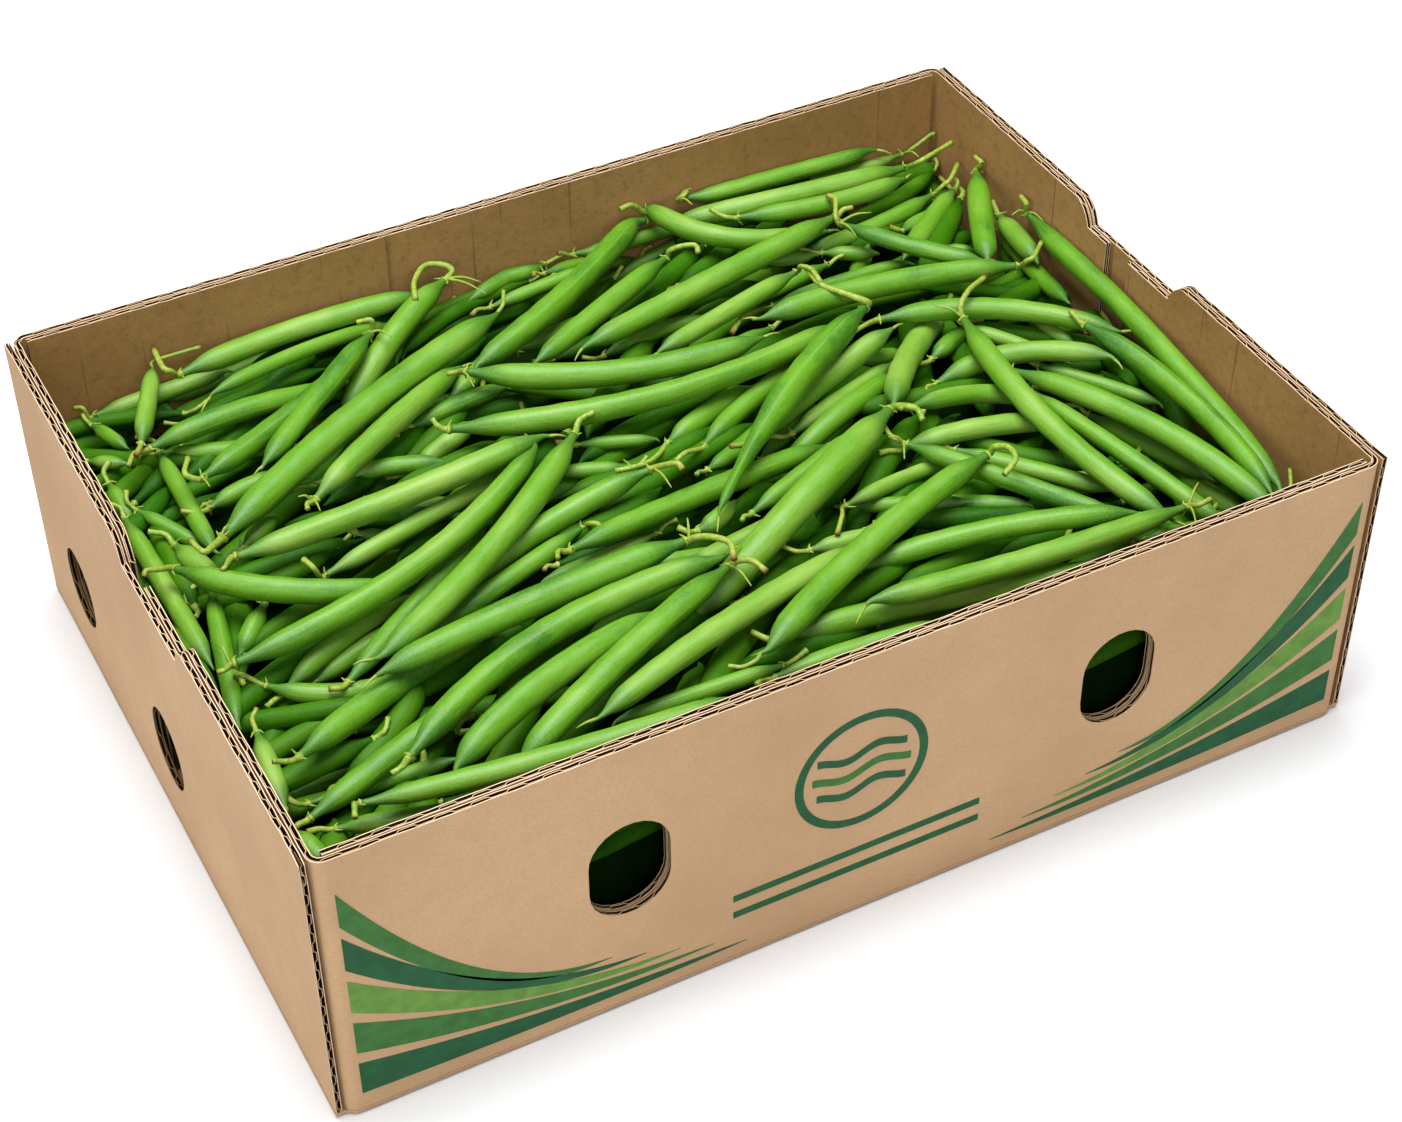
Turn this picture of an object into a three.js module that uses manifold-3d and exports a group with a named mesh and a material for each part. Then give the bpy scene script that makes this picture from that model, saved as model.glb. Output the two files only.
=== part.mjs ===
// An open corrugated carton filled with loose fine green beans. Millimetres, +Z up,
// origin under the middle of the carton, +X along its long front wall.
import * as THREE from 'three';
import { mergeVertices } from 'three/addons/utils/BufferGeometryUtils.js';
import Module from 'manifold-3d';

const wasm = await Module();
wasm.setup();

// Carton
const LENGTH = 300;
const DEPTH = 220;
const HEIGHT = 90;
const BOARD = 1.8;
const LAYER_GAP = 0.4;
const FOLD_RADIUS = 4;
const FLAP_END = { front: 3, back: 13 };
const END_BOARD_DEPTH = DEPTH - 3;
const LINER_LENGTH = 288;
const WALL = 2 * BOARD + LAYER_GAP;
const INSIDE = { x: LENGTH / 2 - WALL, y: DEPTH / 2 - WALL };

// Air holes, and the hand dips in the rims of the end walls
const LONG_HOLE = { width: 22, height: 31, z: 49, along: [-70, 70] };
const END_HOLE = { width: 22, height: 24, z: 30, along: [0, 71] };
const DIP = { half: 27, floorHalf: 20, depth: 7, left: -5.7, right: 2.6 };

// Beans. Their ends are given where the lines from PLAN_EYE through them meet the level
// plane z = PLAN_Z, and their widths as they look on that plane from there; BEAN_SHARE of
// such a width is the bean, and the rest its soft edges.
const PLAN_EYE = { x: -260, y: -513, z: 540 };
const PLAN_Z = 75;
const BEAN_SHARE = 0.89;
const BEAN_GAP = 0.6;
const FUSED_OVERLAP = 1.6;
const BED_SINK = 1.7;
const MOST_SUNK = 15;
const PEDICEL = { share: 0.07, radius: 1.1 };
const HEAP = { top: 77.5, low: 69, core: 62, coreFloor: 30 };
const CORE_INSET = 3.5;
const CORE_CELLS = { x: 16, y: 12 };
const BEHIND_HOLE = { radius: 4.3, half: 25, pitch: 7.5, rise: -3 };

// One bean along its length: 0 is the calyx, 1 the tip; the second number is the share
// of the full half thickness.
const PROFILE = [[0, 0.36], [0.04, 0.44], [0.1, 0.86], [0.18, 1], [0.38, 1], [0.62, 1],
  [0.82, 1], [0.9, 0.88], [0.96, 0.5], [1, 0.18]];

// Each bean: calyx x y, tip x y, sideways bow to its left, width, pedicel's lift and
// sideways curl. Topmost first.
const TOP_BEANS = [
  [104, -86.5, 13, -79, 2, 10, 2, 1], [97, 10.5, 98, -88, -5.5, 9.5, 4, 3],
  [-126, -83.5, -32, -94, -2, 9, 1, 1], [70, -44, -18, -83, -3.5, 10, 2, -3],
  [-12, -51, -88, -89, -2, 10, 2, -2], [-110, -75, -13, -50, 11.5, 11, 1, -1],
  [-12, -80, 78, -98, 2, 11, 1, 0], [-23, 16, -103, -40, 4, 9.5, 2, 2],
  [-17, -37, -105, -45, -1.5, 11.5, 1, -3], [57, -15, -27, -63, 0, 11.5, 1, -3],
  [-135, -25, -34, 16, -9, 10.5, 2, -2], [-136, 15, -88, -18, -5, 11, 3, 2],
  [-121, 11, -31, 18, 0, 12, 1, 1], [-121, 21, -19, 75, 4, 12.5, 2, -2],
  [75, 28.5, -4, -31, -4, 10.5, 3, 2], [-37, 55, 42, 30, -8, 13, 1, 0],
  [-51, 35, 66, 28, -12, 12.5, 1, 1], [124, 25.5, 47, 38, -4, 12.5, 4, 1],
  [90, 67, 113, 27, 1, 10, 4, 2], [125.5, -8, 127.5, -92, 5, 9.5, 3, 0],
  [76, 21.5, 131, -16, 10.5, 12, 1, 0], [142, 46, 131, -92, 2, 9, 3, 0],
  [90, 72, -3, 50, 0, 11.5, 3, 1], [43, 107, 84, 67, -11, 13, 2, 0],
  [40, 101, -34, 56, 3, 11, 1, 0], [-54, 84, -101, 44, 0, 9, 3, 1],
  [-117, 46.5, -64, 73, -1, 10.5, 2, 2], [-25, 98, -74, 57, -1, 10, 3, 1],
  [-107, 91.5, -33, 96.5, 4, 12, 3, -1], [-127, 68, -113, 98, 0, 6.5, 2, 0],
  [122, 85, 46, 92.5, 1, 12, 3, 0], [52, 102, 119, 98, 3, 10.5, 2, 0],
  [127, 96, 66, 95, 1, 8, 4, 1], [-94, 24, -38, 58, 1.5, 9.5, 1, 1],
  [75, -11, 124, -24, 8, 11, 0, 0], [96, -16, 124, -99, 7, 10.5, 0, 0],
  [95, -26, 109, -98, 1, 8.5, 0, 0], [-125, 66, -58, 75, 2, 11, 0, 0],
  [-38, 88, -103, 79, 0, 7.5, 0, 0], [36, 77, -18, 50, 0, 9, 2, 1],
  [60, 76, 119, 80, -3.5, 9.5, 0, 0], [139, 71, 117, 30, 0, 8, 3, 0],
  [66, 53, 14, 38, 0, 8.5, 1, 1], [18, -9, 77, 17, 1, 9.5, 0, 0],
  [95, 18, 60, -13, -3, 9, 0, 0], [-12, -7, -78, -27, -3, 10, 1, -1],
  [-44, -26, 34, -20, 1, 10.5, 0, 0], [-33, -59, -103, -86, -6.5, 10.5, 0, 0],
  [24, -60, -64, -84, -3, 9.5, 0, 0], [17, -67, 88, -86, 6.5, 10.5, 0, 0],
  [54, -30, 87, -83, 0, 9.5, 1, 1], [52, -31, 96, -41, 3, 10, 0, 0],
  [63, -17, 98, -33, 5, 10, 0, 0], [-133, -62.5, -72, -42, 2, 10, 1, 0],
];
const LOW_BEANS = [
  [122, 69, 74, 62, 2, 8.5], [129, 68, 98, 45, 0, 8], [53, 42, 98, 42, 1, 8],
  [14, 106, 60, 92, 0, 9], [6, -4.5, 52, 16, 2, 8], [-2, 1, 30, 13, 1, 9],
  [47, 33, 8, 22, 0, 9], [-103, -5, -42, 11, 0, 8.5], [-38, -19.5, -92, -39, 0, 8],
  [-113, -44, -62, -14, 0, 8], [4, -35, 45, -19, 0, 7.5], [68, -1, 20, -22, 0, 8.5],
  [-17, -89, -62, -87, 0, 7], [-138, -82, -88, -62, 0, 9], [-131, -36, -100, -48, -4, 8],
  [-141, 40, -140.5, -22, 0, 6.5], [-131, 3, -142, -45, 0, 6], [-124, 62, -125, 17, 0, 6],
  [-25, -47, 18, -40, 0, 8], [64, -38, 92, -72, 0, 9],
  [-134, 86, -95, 88, 0, 9], [-118, 90, -62, 87, 2, 8], [-124, 61, -90, 48, 0, 9],
  [-18, 80, 15, 84, 0, 8], [2, 87, 30, 90, 0, 8], [6, 93, 60, 96, 0, 8],
  [4, 95, -22, 86, 0, 8], [76, 52, 46, 47, 0, 8], [134, 50, 131, 25, 0, 9],
  [130, 43, 128, 5, 0, 8], [96, 8, 112, -20, 0, 8], [114, 1, 118, -14, 0, 7],
  [104, -17, 124, -47, 0, 8], [104, -42, 117, -80, 0, 8], [112, -70, 116, -96, 0, 8],
  [30, -10, 68, 2, 0, 8], [18, -14, 45, -4, 0, 7], [2, -14, 24, -8, 0, 7],
  [27, -44, 64, -41, 1, 7], [27, -42, 56, -58, 0, 8], [45, -53, 70, -66, 0, 9],
  [10, -55, 30, -58, 0, 8], [-30, -40, -8, -46, 0, 8], [-14, -39, 2, -29, 0, 7],
  [-22, -30, -55, -33, 1, 7], [-127, -38, -85, -22, 2, 8], [-121, -40, -92, -32, 1, 8.5],
  [-137, -79, -100, -80, 1, 7], [-134, -88, -106, -96, 0, 8], [-121, -8, -133, -23, 0, 7],
  [-137, 42, -126, 20, 0, 6], [-133, 24, -128, 5, 0, 8], [-120, 34, -98, 38, 1, 9],
  [-118, 15, -106, 22, 0, 8], [-92, 30, -58, 22, 2, 9], [-66, 26, -44, 34, 0, 9],
  [-90, 26, -70, 45, 0, 8], [-60, 40, -30, 44, 1, 9], [-46, 46, -22, 62, 0, 8],
  [-20, 58, 10, 62, 0, 9], [0, 44, 34, 46, 2, 8], [60, 62, 76, 58, 0, 8],
  [78, 58, 92, 50, 0, 9], [104, 56, 118, 60, 0, 8], [80, 44, 90, 52, 0, 7],
  [110, 44, 118, 38, 0, 7], [-90, 6, -80, -4, 0, 8], [-74, 10, -60, 2, 0, 9],
  [-24, 12, -4, 4, 0, 7], [-16, -3, -34, 4, 0, 8], [60, 8, 74, 5, 0, 9],
  [82, 3, 96, 8, 0, 8], [-20, -91, 26, -95, 1, 8], [88, -92, 112, -97, 0, 8],
  [-142, 68, -133, 62, 0, 7], [-136, 82, -131, 68, 0, 6], [-140, 56, -140, 38, 0, 6],
  [-139, -50, -142, -76, 0, 6], [-143, -84, -140, -98, 0, 7], [58, -94, 84, -97, 0, 8],
];

// How beans settle: stations along each, cell of the heap's map, rounds of settling,
// steepest tilt from end to end, and the up or down bends tried
const STATIONS = 60;
const CELL = 0.5;
const ROUNDS = 6;
const MAX_TILT = 14;
const BENDS = [0, 3, -3, 6, -6];

const paint = (colour, roughness) =>
  new THREE.MeshStandardMaterial({ color: colour, roughness, metalness: 0 });

// Solids and joins; the two tolerances are how far a joined body's faces may be merged
const FINE = 0.005;
const COARSE = 0.08;
const solid = (geometry) => {
  const bare = geometry.clone();
  bare.deleteAttribute('normal');
  bare.deleteAttribute('uv');
  const merged = mergeVertices(bare, 1e-4);
  return new wasm.Manifold(new wasm.Mesh({
    numProp: 3,
    vertProperties: new Float32Array(merged.attributes.position.array),
    triVerts: new Uint32Array(merged.index.array),
  }));
};

const geometryOf = (body, tolerance) => {
  const mesh = body.asOriginal().simplify(tolerance).getMesh();
  const geometry = new THREE.BufferGeometry();
  geometry.setAttribute('position', new THREE.BufferAttribute(mesh.vertProperties.slice(), 3));
  geometry.setIndex(new THREE.BufferAttribute(mesh.triVerts.slice(), 1));
  geometry.computeVertexNormals();
  return geometry;
};

const block = (low, high) => {
  const size = high.map((value, axis) => value - low[axis]);
  const geometry = new THREE.BoxGeometry(...size);
  geometry.translate(...low.map((value, axis) => value + size[axis] / 2));
  return solid(geometry);
};

// A hole cutter with round ends, upright, drawn across the wall that faces the given way
const holeCutter = (hole, along, facing) => {
  const radius = hole.width / 2;
  const straight = (hole.height - hole.width) / 2;
  const outline = new THREE.Shape();
  outline.absarc(0, straight, radius, 0, Math.PI, false);
  outline.absarc(0, -straight, radius, Math.PI, 2 * Math.PI, false);
  const geometry = new THREE.ExtrudeGeometry(outline,
    { depth: 3 * WALL, bevelEnabled: false, curveSegments: 6 });
  geometry.translate(0, 0, -1.5 * WALL);
  geometry.rotateX(Math.PI / 2);
  if (facing === 'y') return (side) => solid(geometry.clone()
    .translate(along, side * (DEPTH / 2 - WALL / 2), hole.z));
  geometry.rotateZ(Math.PI / 2);
  return (side) => solid(geometry.clone()
    .translate(side * (LENGTH / 2 - WALL / 2), along, hole.z));
};

// The dip in an end wall's rim, with swept ends
const dipCutter = (side) => {
  const outline = new THREE.Shape();
  outline.moveTo(-DIP.half, 1);
  outline.lineTo(-DIP.half, 0);
  outline.quadraticCurveTo(-DIP.floorHalf - 2, -1, -DIP.floorHalf, -DIP.depth);
  outline.lineTo(DIP.floorHalf, -DIP.depth);
  outline.quadraticCurveTo(DIP.floorHalf + 2, -1, DIP.half, 0);
  outline.lineTo(DIP.half, 1);
  outline.closePath();
  const geometry = new THREE.ExtrudeGeometry(outline,
    { depth: 3 * WALL, bevelEnabled: false, curveSegments: 4 });
  geometry.translate(0, 0, -1.5 * WALL);
  geometry.rotateX(Math.PI / 2);
  geometry.rotateZ(Math.PI / 2);
  const middle = side < 0 ? DIP.left : DIP.right;
  return solid(geometry.translate(side * (LENGTH / 2 - WALL / 2), middle, HEIGHT));
};

// A long wall with its two rounded upright folds and the flaps that run inside the end
// walls; flapLength is measured from the wall's outer face.
const foldedWall = (flapLength) => {
  const x = LENGTH / 2 - BOARD - LAYER_GAP;
  const y = -DEPTH / 2;
  const inner = FOLD_RADIUS - BOARD;
  const outline = new THREE.Shape();
  outline.moveTo(-x, y + flapLength);
  outline.lineTo(-x, y + FOLD_RADIUS);
  outline.absarc(-x + FOLD_RADIUS, y + FOLD_RADIUS, FOLD_RADIUS, Math.PI, 1.5 * Math.PI, false);
  outline.lineTo(x - FOLD_RADIUS, y);
  outline.absarc(x - FOLD_RADIUS, y + FOLD_RADIUS, FOLD_RADIUS, 1.5 * Math.PI, 2 * Math.PI, false);
  outline.lineTo(x, y + flapLength);
  outline.lineTo(x - BOARD, y + flapLength);
  outline.lineTo(x - BOARD, y + FOLD_RADIUS);
  outline.absarc(x - FOLD_RADIUS, y + FOLD_RADIUS, inner, 0, -0.5 * Math.PI, true);
  outline.lineTo(-x + FOLD_RADIUS, y + BOARD);
  outline.absarc(-x + FOLD_RADIUS, y + FOLD_RADIUS, inner, 1.5 * Math.PI, Math.PI, true);
  outline.lineTo(-x + BOARD, y + flapLength);
  outline.closePath();
  return new THREE.ExtrudeGeometry(outline, { depth: HEIGHT, bevelEnabled: false, curveSegments: 4 });
};

const longHoles = (side) => LONG_HOLE.along.map((x) => holeCutter(LONG_HOLE, x, 'y')(side));
const endHoles = (side) => END_HOLE.along.map((y) => holeCutter(END_HOLE, y, 'x')(side));

const trayBlank = () => {
  const x = LENGTH / 2;
  const y = END_BOARD_DEPTH / 2;
  let body = block([-x, -y, 0], [x, y, BOARD]);
  body = body.add(solid(foldedWall(DEPTH / 2 + FLAP_END.front)));
  body = body.add(solid(foldedWall(DEPTH / 2 - FLAP_END.back).rotateZ(Math.PI)));
  for (const side of [-1, 1]) {
    const faces = [side * x, side * (x - BOARD)].sort((a, b) => a - b);
    body = body.add(block([faces[0], -y, 0], [faces[1], y, HEIGHT]));
  }
  for (const side of [-1, 1]) {
    for (const cutter of [...longHoles(side), ...endHoles(side), dipCutter(side)]) {
      body = body.subtract(cutter);
    }
  }
  return geometryOf(body, FINE);
};

const liner = (side) => {
  const faces = [side * INSIDE.y, side * (INSIDE.y + BOARD)].sort((a, b) => a - b);
  const low = [-LINER_LENGTH / 2, faces[0], BOARD + LAYER_GAP];
  let body = block(low, [LINER_LENGTH / 2, faces[1], HEIGHT]);
  for (const cutter of longHoles(side)) body = body.subtract(cutter);
  return geometryOf(body, FINE);
};

// Beans: the topmost lie at the heap's height and each next one is pressed up from
// below against those already there. underside holds the lowest face over each cell, and
// bedTop the top face of the core with the beans that are fused to it.
const columns = Math.round(2 * INSIDE.x / CELL);
const rows = Math.round(2 * INSIDE.y / CELL);
const underside = new Float64Array(columns * rows).fill(HEIGHT);
const bedTop = new Float64Array(columns * rows);

// The heap is fullest in the middle and falls a little towards the walls
const crown = (x, y) => -5 * Math.abs(x / INSIDE.x) ** 3 - 4 * Math.abs(y / INSIDE.y) ** 3;

// Calls visit(cell, reach) for the cells within the radius of a point; reach is how far a
// ball there stands above or below its centre.
const eachCell = (x, y, radius, visit) => {
  const first = Math.max(0, Math.floor((x - radius + INSIDE.x) / CELL));
  const last = Math.min(columns - 1, Math.floor((x + radius + INSIDE.x) / CELL));
  const bottom = Math.max(0, Math.floor((y - radius + INSIDE.y) / CELL));
  const top = Math.min(rows - 1, Math.floor((y + radius + INSIDE.y) / CELL));
  for (let row = bottom; row <= top; row += 1) {
    const dy = (row + 0.5) * CELL - INSIDE.y - y;
    for (let column = first; column <= last; column += 1) {
      const dx = (column + 0.5) * CELL - INSIDE.x - x;
      const left = radius * radius - dx * dx - dy * dy;
      if (left > 0) visit(row * columns + column, Math.sqrt(left));
    }
  }
};

// Half thickness at t; below 0 is the pedicel
const thickness = (radius, t) => {
  if (t < 0) return PEDICEL.radius;
  const next = Math.max(1, PROFILE.findIndex(([at]) => at >= t));
  const [t0, r0] = PROFILE[next - 1];
  const [t1, r1] = PROFILE[next];
  return radius * (r0 + (r1 - r0) * (t - t0) / (t1 - t0));
};

// The point of a bean at t on the plan plane, on a bend through its bowed middle; the
// pedicel goes straight on and curls aside
const planPoint = ([x0, y0, x1, y1, bow, , , curl = 0], t) => {
  const long = Math.hypot(x1 - x0, y1 - y0);
  const push = t < 0 ? 4 * bow * t / long + curl * (t / PEDICEL.share) ** 2 / long
    : 4 * bow * t * (1 - t) / long;
  return [x0 + (x1 - x0) * t - (y1 - y0) * push, y0 + (y1 - y0) * t + (x1 - x0) * push];
};

const clamp = (value, limit) => Math.max(-limit, Math.min(limit, value));

// From the plan plane along the line of sight to height z, and off the walls
const slide = ([x, y], z, radius) => {
  const part = (PLAN_EYE.z - z) / (PLAN_EYE.z - PLAN_Z);
  const margin = radius + BEAN_GAP;
  return [clamp(PLAN_EYE.x + (x - PLAN_EYE.x) * part, INSIDE.x - margin),
    clamp(PLAN_EYE.y + (y - PLAN_EYE.y) * part, INSIDE.y - margin)];
};

// Half thickness from the width seen on the plan plane: a round bar looks wider there,
// the more the line of sight slants across it
const halfThickness = ([x0, y0, x1, y1, , width]) => {
  const down = PLAN_EYE.z - PLAN_Z;
  const slantX = ((x0 + x1) / 2 - PLAN_EYE.x) / down;
  const slantY = ((y0 + y1) / 2 - PLAN_EYE.y) / down;
  const across = (slantX * (y1 - y0) - slantY * (x1 - x0)) / Math.hypot(x1 - x0, y1 - y0);
  return BEAN_SHARE * width / 2 / Math.hypot(1, across);
};

// The straight line that touches the limits on both sides of the bean's middle from
// below, no steeper than MAX_TILT
const pressedLine = (limits) => {
  const hull = [];
  for (const point of limits) {
    while (hull.length > 1) {
      const [a, b] = hull.slice(-2);
      if ((b[1] - a[1]) * (point[0] - a[0]) < (point[1] - a[1]) * (b[0] - a[0])) break;
      hull.pop();
    }
    hull.push(point);
  }
  const next = Math.max(1, hull.findIndex(([t]) => t >= 0.5));
  const [a, b] = [hull[next - 1], hull[next]];
  const slope = clamp((b[1] - a[1]) / (b[0] - a[0]), MAX_TILT);
  const start = Math.min(...limits.map(([t, height]) => height - slope * t));
  return [start, slope];
};

// Of the bends tried, the one that lies highest
const pressedCurve = (limits) => {
  let best = null;
  for (const bend of BENDS) {
    const arch = (t) => 4 * bend * Math.max(t, 0) * (1 - t);
    const [start, slope] = pressedLine(limits.map(([t, height]) => [t, height - arch(t)]));
    const score = start + slope / 2 + 2 * bend / 3 - Math.abs(bend) / 5;
    if (!best || score > best.score) best = { score, curve: (t) => start + slope * t + arch(t) };
  }
  return best.curve;
};

// Stations along a bean with their places, and the curve of its heights
const pressBean = (bean, cap) => {
  const radius = halfThickness(bean);
  const lift = (t) => (t < 0 ? (bean[6] ?? 0) * (t / PEDICEL.share) ** 2 : 0);
  const first = bean.length > 6 ? -Math.round(PEDICEL.share * STATIONS) : 0;
  const stations = [];
  for (let station = first; station <= STATIONS; station += 1) stations.push(station / STATIONS);
  let curve = () => PLAN_Z;
  let places = [];
  for (let round = 0; round < ROUNDS; round += 1) {
    const before = curve;
    places = stations.map((t) => slide(planPoint(bean, t), before(t), thickness(radius, t)));
    const limits = stations.map((t, index) => {
      const [x, y] = places[index];
      let height = cap + crown(x, y) + lift(t);
      eachCell(x, y, thickness(radius, t), (cell, reach) => {
        height = Math.min(height, underside[cell] - reach - BEAN_GAP);
      });
      return [t, height - lift(t)];
    });
    const found = pressedCurve(limits);
    curve = round + 1 < ROUNDS ? (t) => (before(t) + found(t)) / 2 : found;
  }
  return stations.map((t, index) => ({
    t,
    ball: thickness(radius, t),
    centre: new THREE.Vector3(...places[index], curve(t) + lift(t)),
  }));
};

const record = (path, overlap) => {
  for (const { centre, ball } of path) {
    eachCell(centre.x, centre.y, ball, (cell, reach) => {
      underside[cell] = Math.min(underside[cell], centre.z - reach + overlap);
    });
  }
};

// Lowers a fused bean until it is sunk into the bed somewhere
const sinkIntoBed = (path) => {
  let air = HEIGHT;
  for (const { centre, ball } of path) {
    eachCell(centre.x, centre.y, ball, (cell, reach) => {
      air = Math.min(air, centre.z - reach - bedTop[cell]);
    });
  }
  const drop = clamp(Math.max(0, air + BED_SINK), MOST_SUNK);
  for (const { centre, ball } of path) {
    centre.z -= drop;
    eachCell(centre.x, centre.y, ball, (cell, reach) => {
      bedTop[cell] = Math.max(bedTop[cell], centre.z + reach);
    });
  }
};

const ringsAt = (path, stops) => stops.map((stop) => {
  const { centre, ball } = path.find(({ t }) => t > stop - 0.5 / STATIONS);
  return [centre, ball];
});

// A closed tube through rings of [centre, radius]
const loft = (rings, sides) => {
  const points = [];
  rings.forEach(([centre, radius], index) => {
    const ahead = rings[Math.min(index + 1, rings.length - 1)][0];
    const behind = rings[Math.max(index - 1, 0)][0];
    const along = ahead.clone().sub(behind).normalize();
    const across = new THREE.Vector3(0, 0, 1).cross(along).normalize();
    const up = along.clone().cross(across);
    for (let side = 0; side < sides; side += 1) {
      const angle = 2 * Math.PI * (side + 0.5) / sides;
      points.push(centre.clone().addScaledVector(across, radius * Math.cos(angle))
        .addScaledVector(up, radius * Math.sin(angle)));
    }
  });
  const faces = [];
  for (let ring = 0; ring + 1 < rings.length; ring += 1) {
    for (let side = 0; side < sides; side += 1) {
      const a = ring * sides + side;
      const b = ring * sides + (side + 1) % sides;
      faces.push(a, b, b + sides, a, b + sides, a + sides);
    }
  }
  const last = (rings.length - 1) * sides;
  for (let side = 1; side + 1 < sides; side += 1) {
    faces.push(0, side + 1, side, last, last + side, last + side + 1);
  }
  const geometry = new THREE.BufferGeometry();
  geometry.setAttribute('position',
    new THREE.BufferAttribute(new Float32Array(points.flatMap((point) => point.toArray())), 3));
  geometry.setIndex(faces);
  geometry.computeVertexNormals();
  return geometry;
};

const topBean = (bean) => {
  const path = pressBean(bean, HEAP.top);
  record(path, 0);
  return loft(ringsAt(path, [-PEDICEL.share, ...PROFILE.map(([t]) => t)]), 6);
};

const lowBean = (bean) => {
  const path = pressBean(bean, HEAP.low);
  sinkIntoBed(path);
  record(path, BEAN_GAP + FUSED_OVERLAP);
  return loft(ringsAt(path, [0, 0.12, 0.5, 0.87, 1]), 5);
};

// Beans lying along the walls across each air hole
const beansBehindHoles = () => {
  const { radius, half, pitch, rise } = BEHIND_HOLE;
  const beans = [];
  const layAlong = (hole, count, place) => {
    for (const side of [-1, 1]) {
      for (const along of hole.along) {
        for (let index = 0; index < count; index += 1) {
          const z = hole.z + rise + (index - (count - 1) / 2) * pitch;
          const shift = index % 2 ? 7 : -6;
          const rings = [[-half, 0.25], [0.7 - half, 0.9], [half - 7, 1], [half, 0.3]];
          beans.push(loft(rings.map(([step, part]) =>
            [place(side, along + shift + step, z + step * (index % 2 ? 0.06 : -0.05)),
              radius * part]), 5));
        }
      }
    }
  };
  const off = radius + BEAN_GAP;
  layAlong(LONG_HOLE, 4, (side, along, z) => new THREE.Vector3(along, side * (INSIDE.y - off), z));
  layAlong(END_HOLE, 3, (side, along, z) => new THREE.Vector3(side * (INSIDE.x - off), along, z));
  return beans;
};

// The core's top dips below every bean that lies on the bed
const core = () => {
  const x = INSIDE.x - CORE_INSET;
  const y = INSIDE.y - CORE_INSET;
  const step = { x: 2 * x / CORE_CELLS.x, y: 2 * y / CORE_CELLS.y };
  const knots = [];
  for (let j = 0; j <= CORE_CELLS.y; j += 1) {
    for (let i = 0; i <= CORE_CELLS.x; i += 1) {
      const [px, py] = [i * step.x - x, j * step.y - y];
      let top = HEAP.core + crown(px, py);
      for (let dx = -step.x; dx <= step.x; dx += CELL) {
        for (let dy = -step.y; dy <= step.y; dy += CELL) {
          const column = Math.floor((clamp(px + dx, INSIDE.x - CELL) + INSIDE.x) / CELL);
          const row = Math.floor((clamp(py + dy, INSIDE.y - CELL) + INSIDE.y) / CELL);
          top = Math.min(top, underside[row * columns + column] - BEAN_GAP);
        }
      }
      knots.push(Math.max(top, HEAP.coreFloor));
    }
  }
  const knot = (i, j) => knots[j * (CORE_CELLS.x + 1) + i];
  for (let row = 0; row < rows; row += 1) {
    const v = ((row + 0.5) * CELL - INSIDE.y + y) / step.y;
    if (v < 0 || v >= CORE_CELLS.y) continue;
    for (let column = 0; column < columns; column += 1) {
      const u = ((column + 0.5) * CELL - INSIDE.x + x) / step.x;
      if (u < 0 || u >= CORE_CELLS.x) continue;
      const [i, j] = [Math.floor(u), Math.floor(v)];
      bedTop[row * columns + column] = Math.min(knot(i, j), knot(i + 1, j), knot(i, j + 1),
        knot(i + 1, j + 1));
    }
  }
  const geometry = new THREE.BoxGeometry(2 * x, 2 * y, 1, CORE_CELLS.x, CORE_CELLS.y, 1);
  const place = geometry.attributes.position;
  for (let index = 0; index < place.count; index += 1) {
    const i = Math.round((place.getX(index) + x) / step.x);
    const j = Math.round((place.getY(index) + y) / step.y);
    place.setZ(index, place.getZ(index) > 0 ? knot(i, j) : BOARD + LAYER_GAP);
  }
  return solid(geometry);
};

const bed = () => {
  let body = core();
  for (const bean of LOW_BEANS) body = body.add(solid(lowBean(bean)));
  for (const bean of beansBehindHoles()) body = body.add(solid(bean));
  return geometryOf(body, COARSE);
};

const topBeans = () => TOP_BEANS.map((bean, index) => {
  const mesh = new THREE.Mesh(topBean(bean), paint(0x6fae3a, 0.5));
  mesh.name = `bean_${String(index + 1).padStart(2, '0')}`;
  return mesh;
});

const carton = new THREE.Group();
const kraft = () => paint(0xc9a680, 0.9);
carton.add(new THREE.Mesh(trayBlank(), kraft()));
carton.add(new THREE.Mesh(liner(-1), kraft()));
carton.add(new THREE.Mesh(liner(1), kraft()));
['tray_blank', 'liner_front', 'liner_back'].forEach((name, index) => {
  carton.children[index].name = name;
});

const beans = new THREE.Group();
beans.add(...topBeans());
const bedMesh = new THREE.Mesh(bed(), paint(0x2f6a1e, 0.6));
bedMesh.name = 'bean_bed';
beans.add(bedMesh);

const part = new THREE.Group();
part.add(carton, beans);
export default part;
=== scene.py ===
"""An open corrugated carton full of loose fine green beans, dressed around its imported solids.
Sizes are in millimetres here, and become metres when a mesh is made."""
import math
import random

import bpy
import numpy as np
from mathutils import Matrix, Vector


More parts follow.
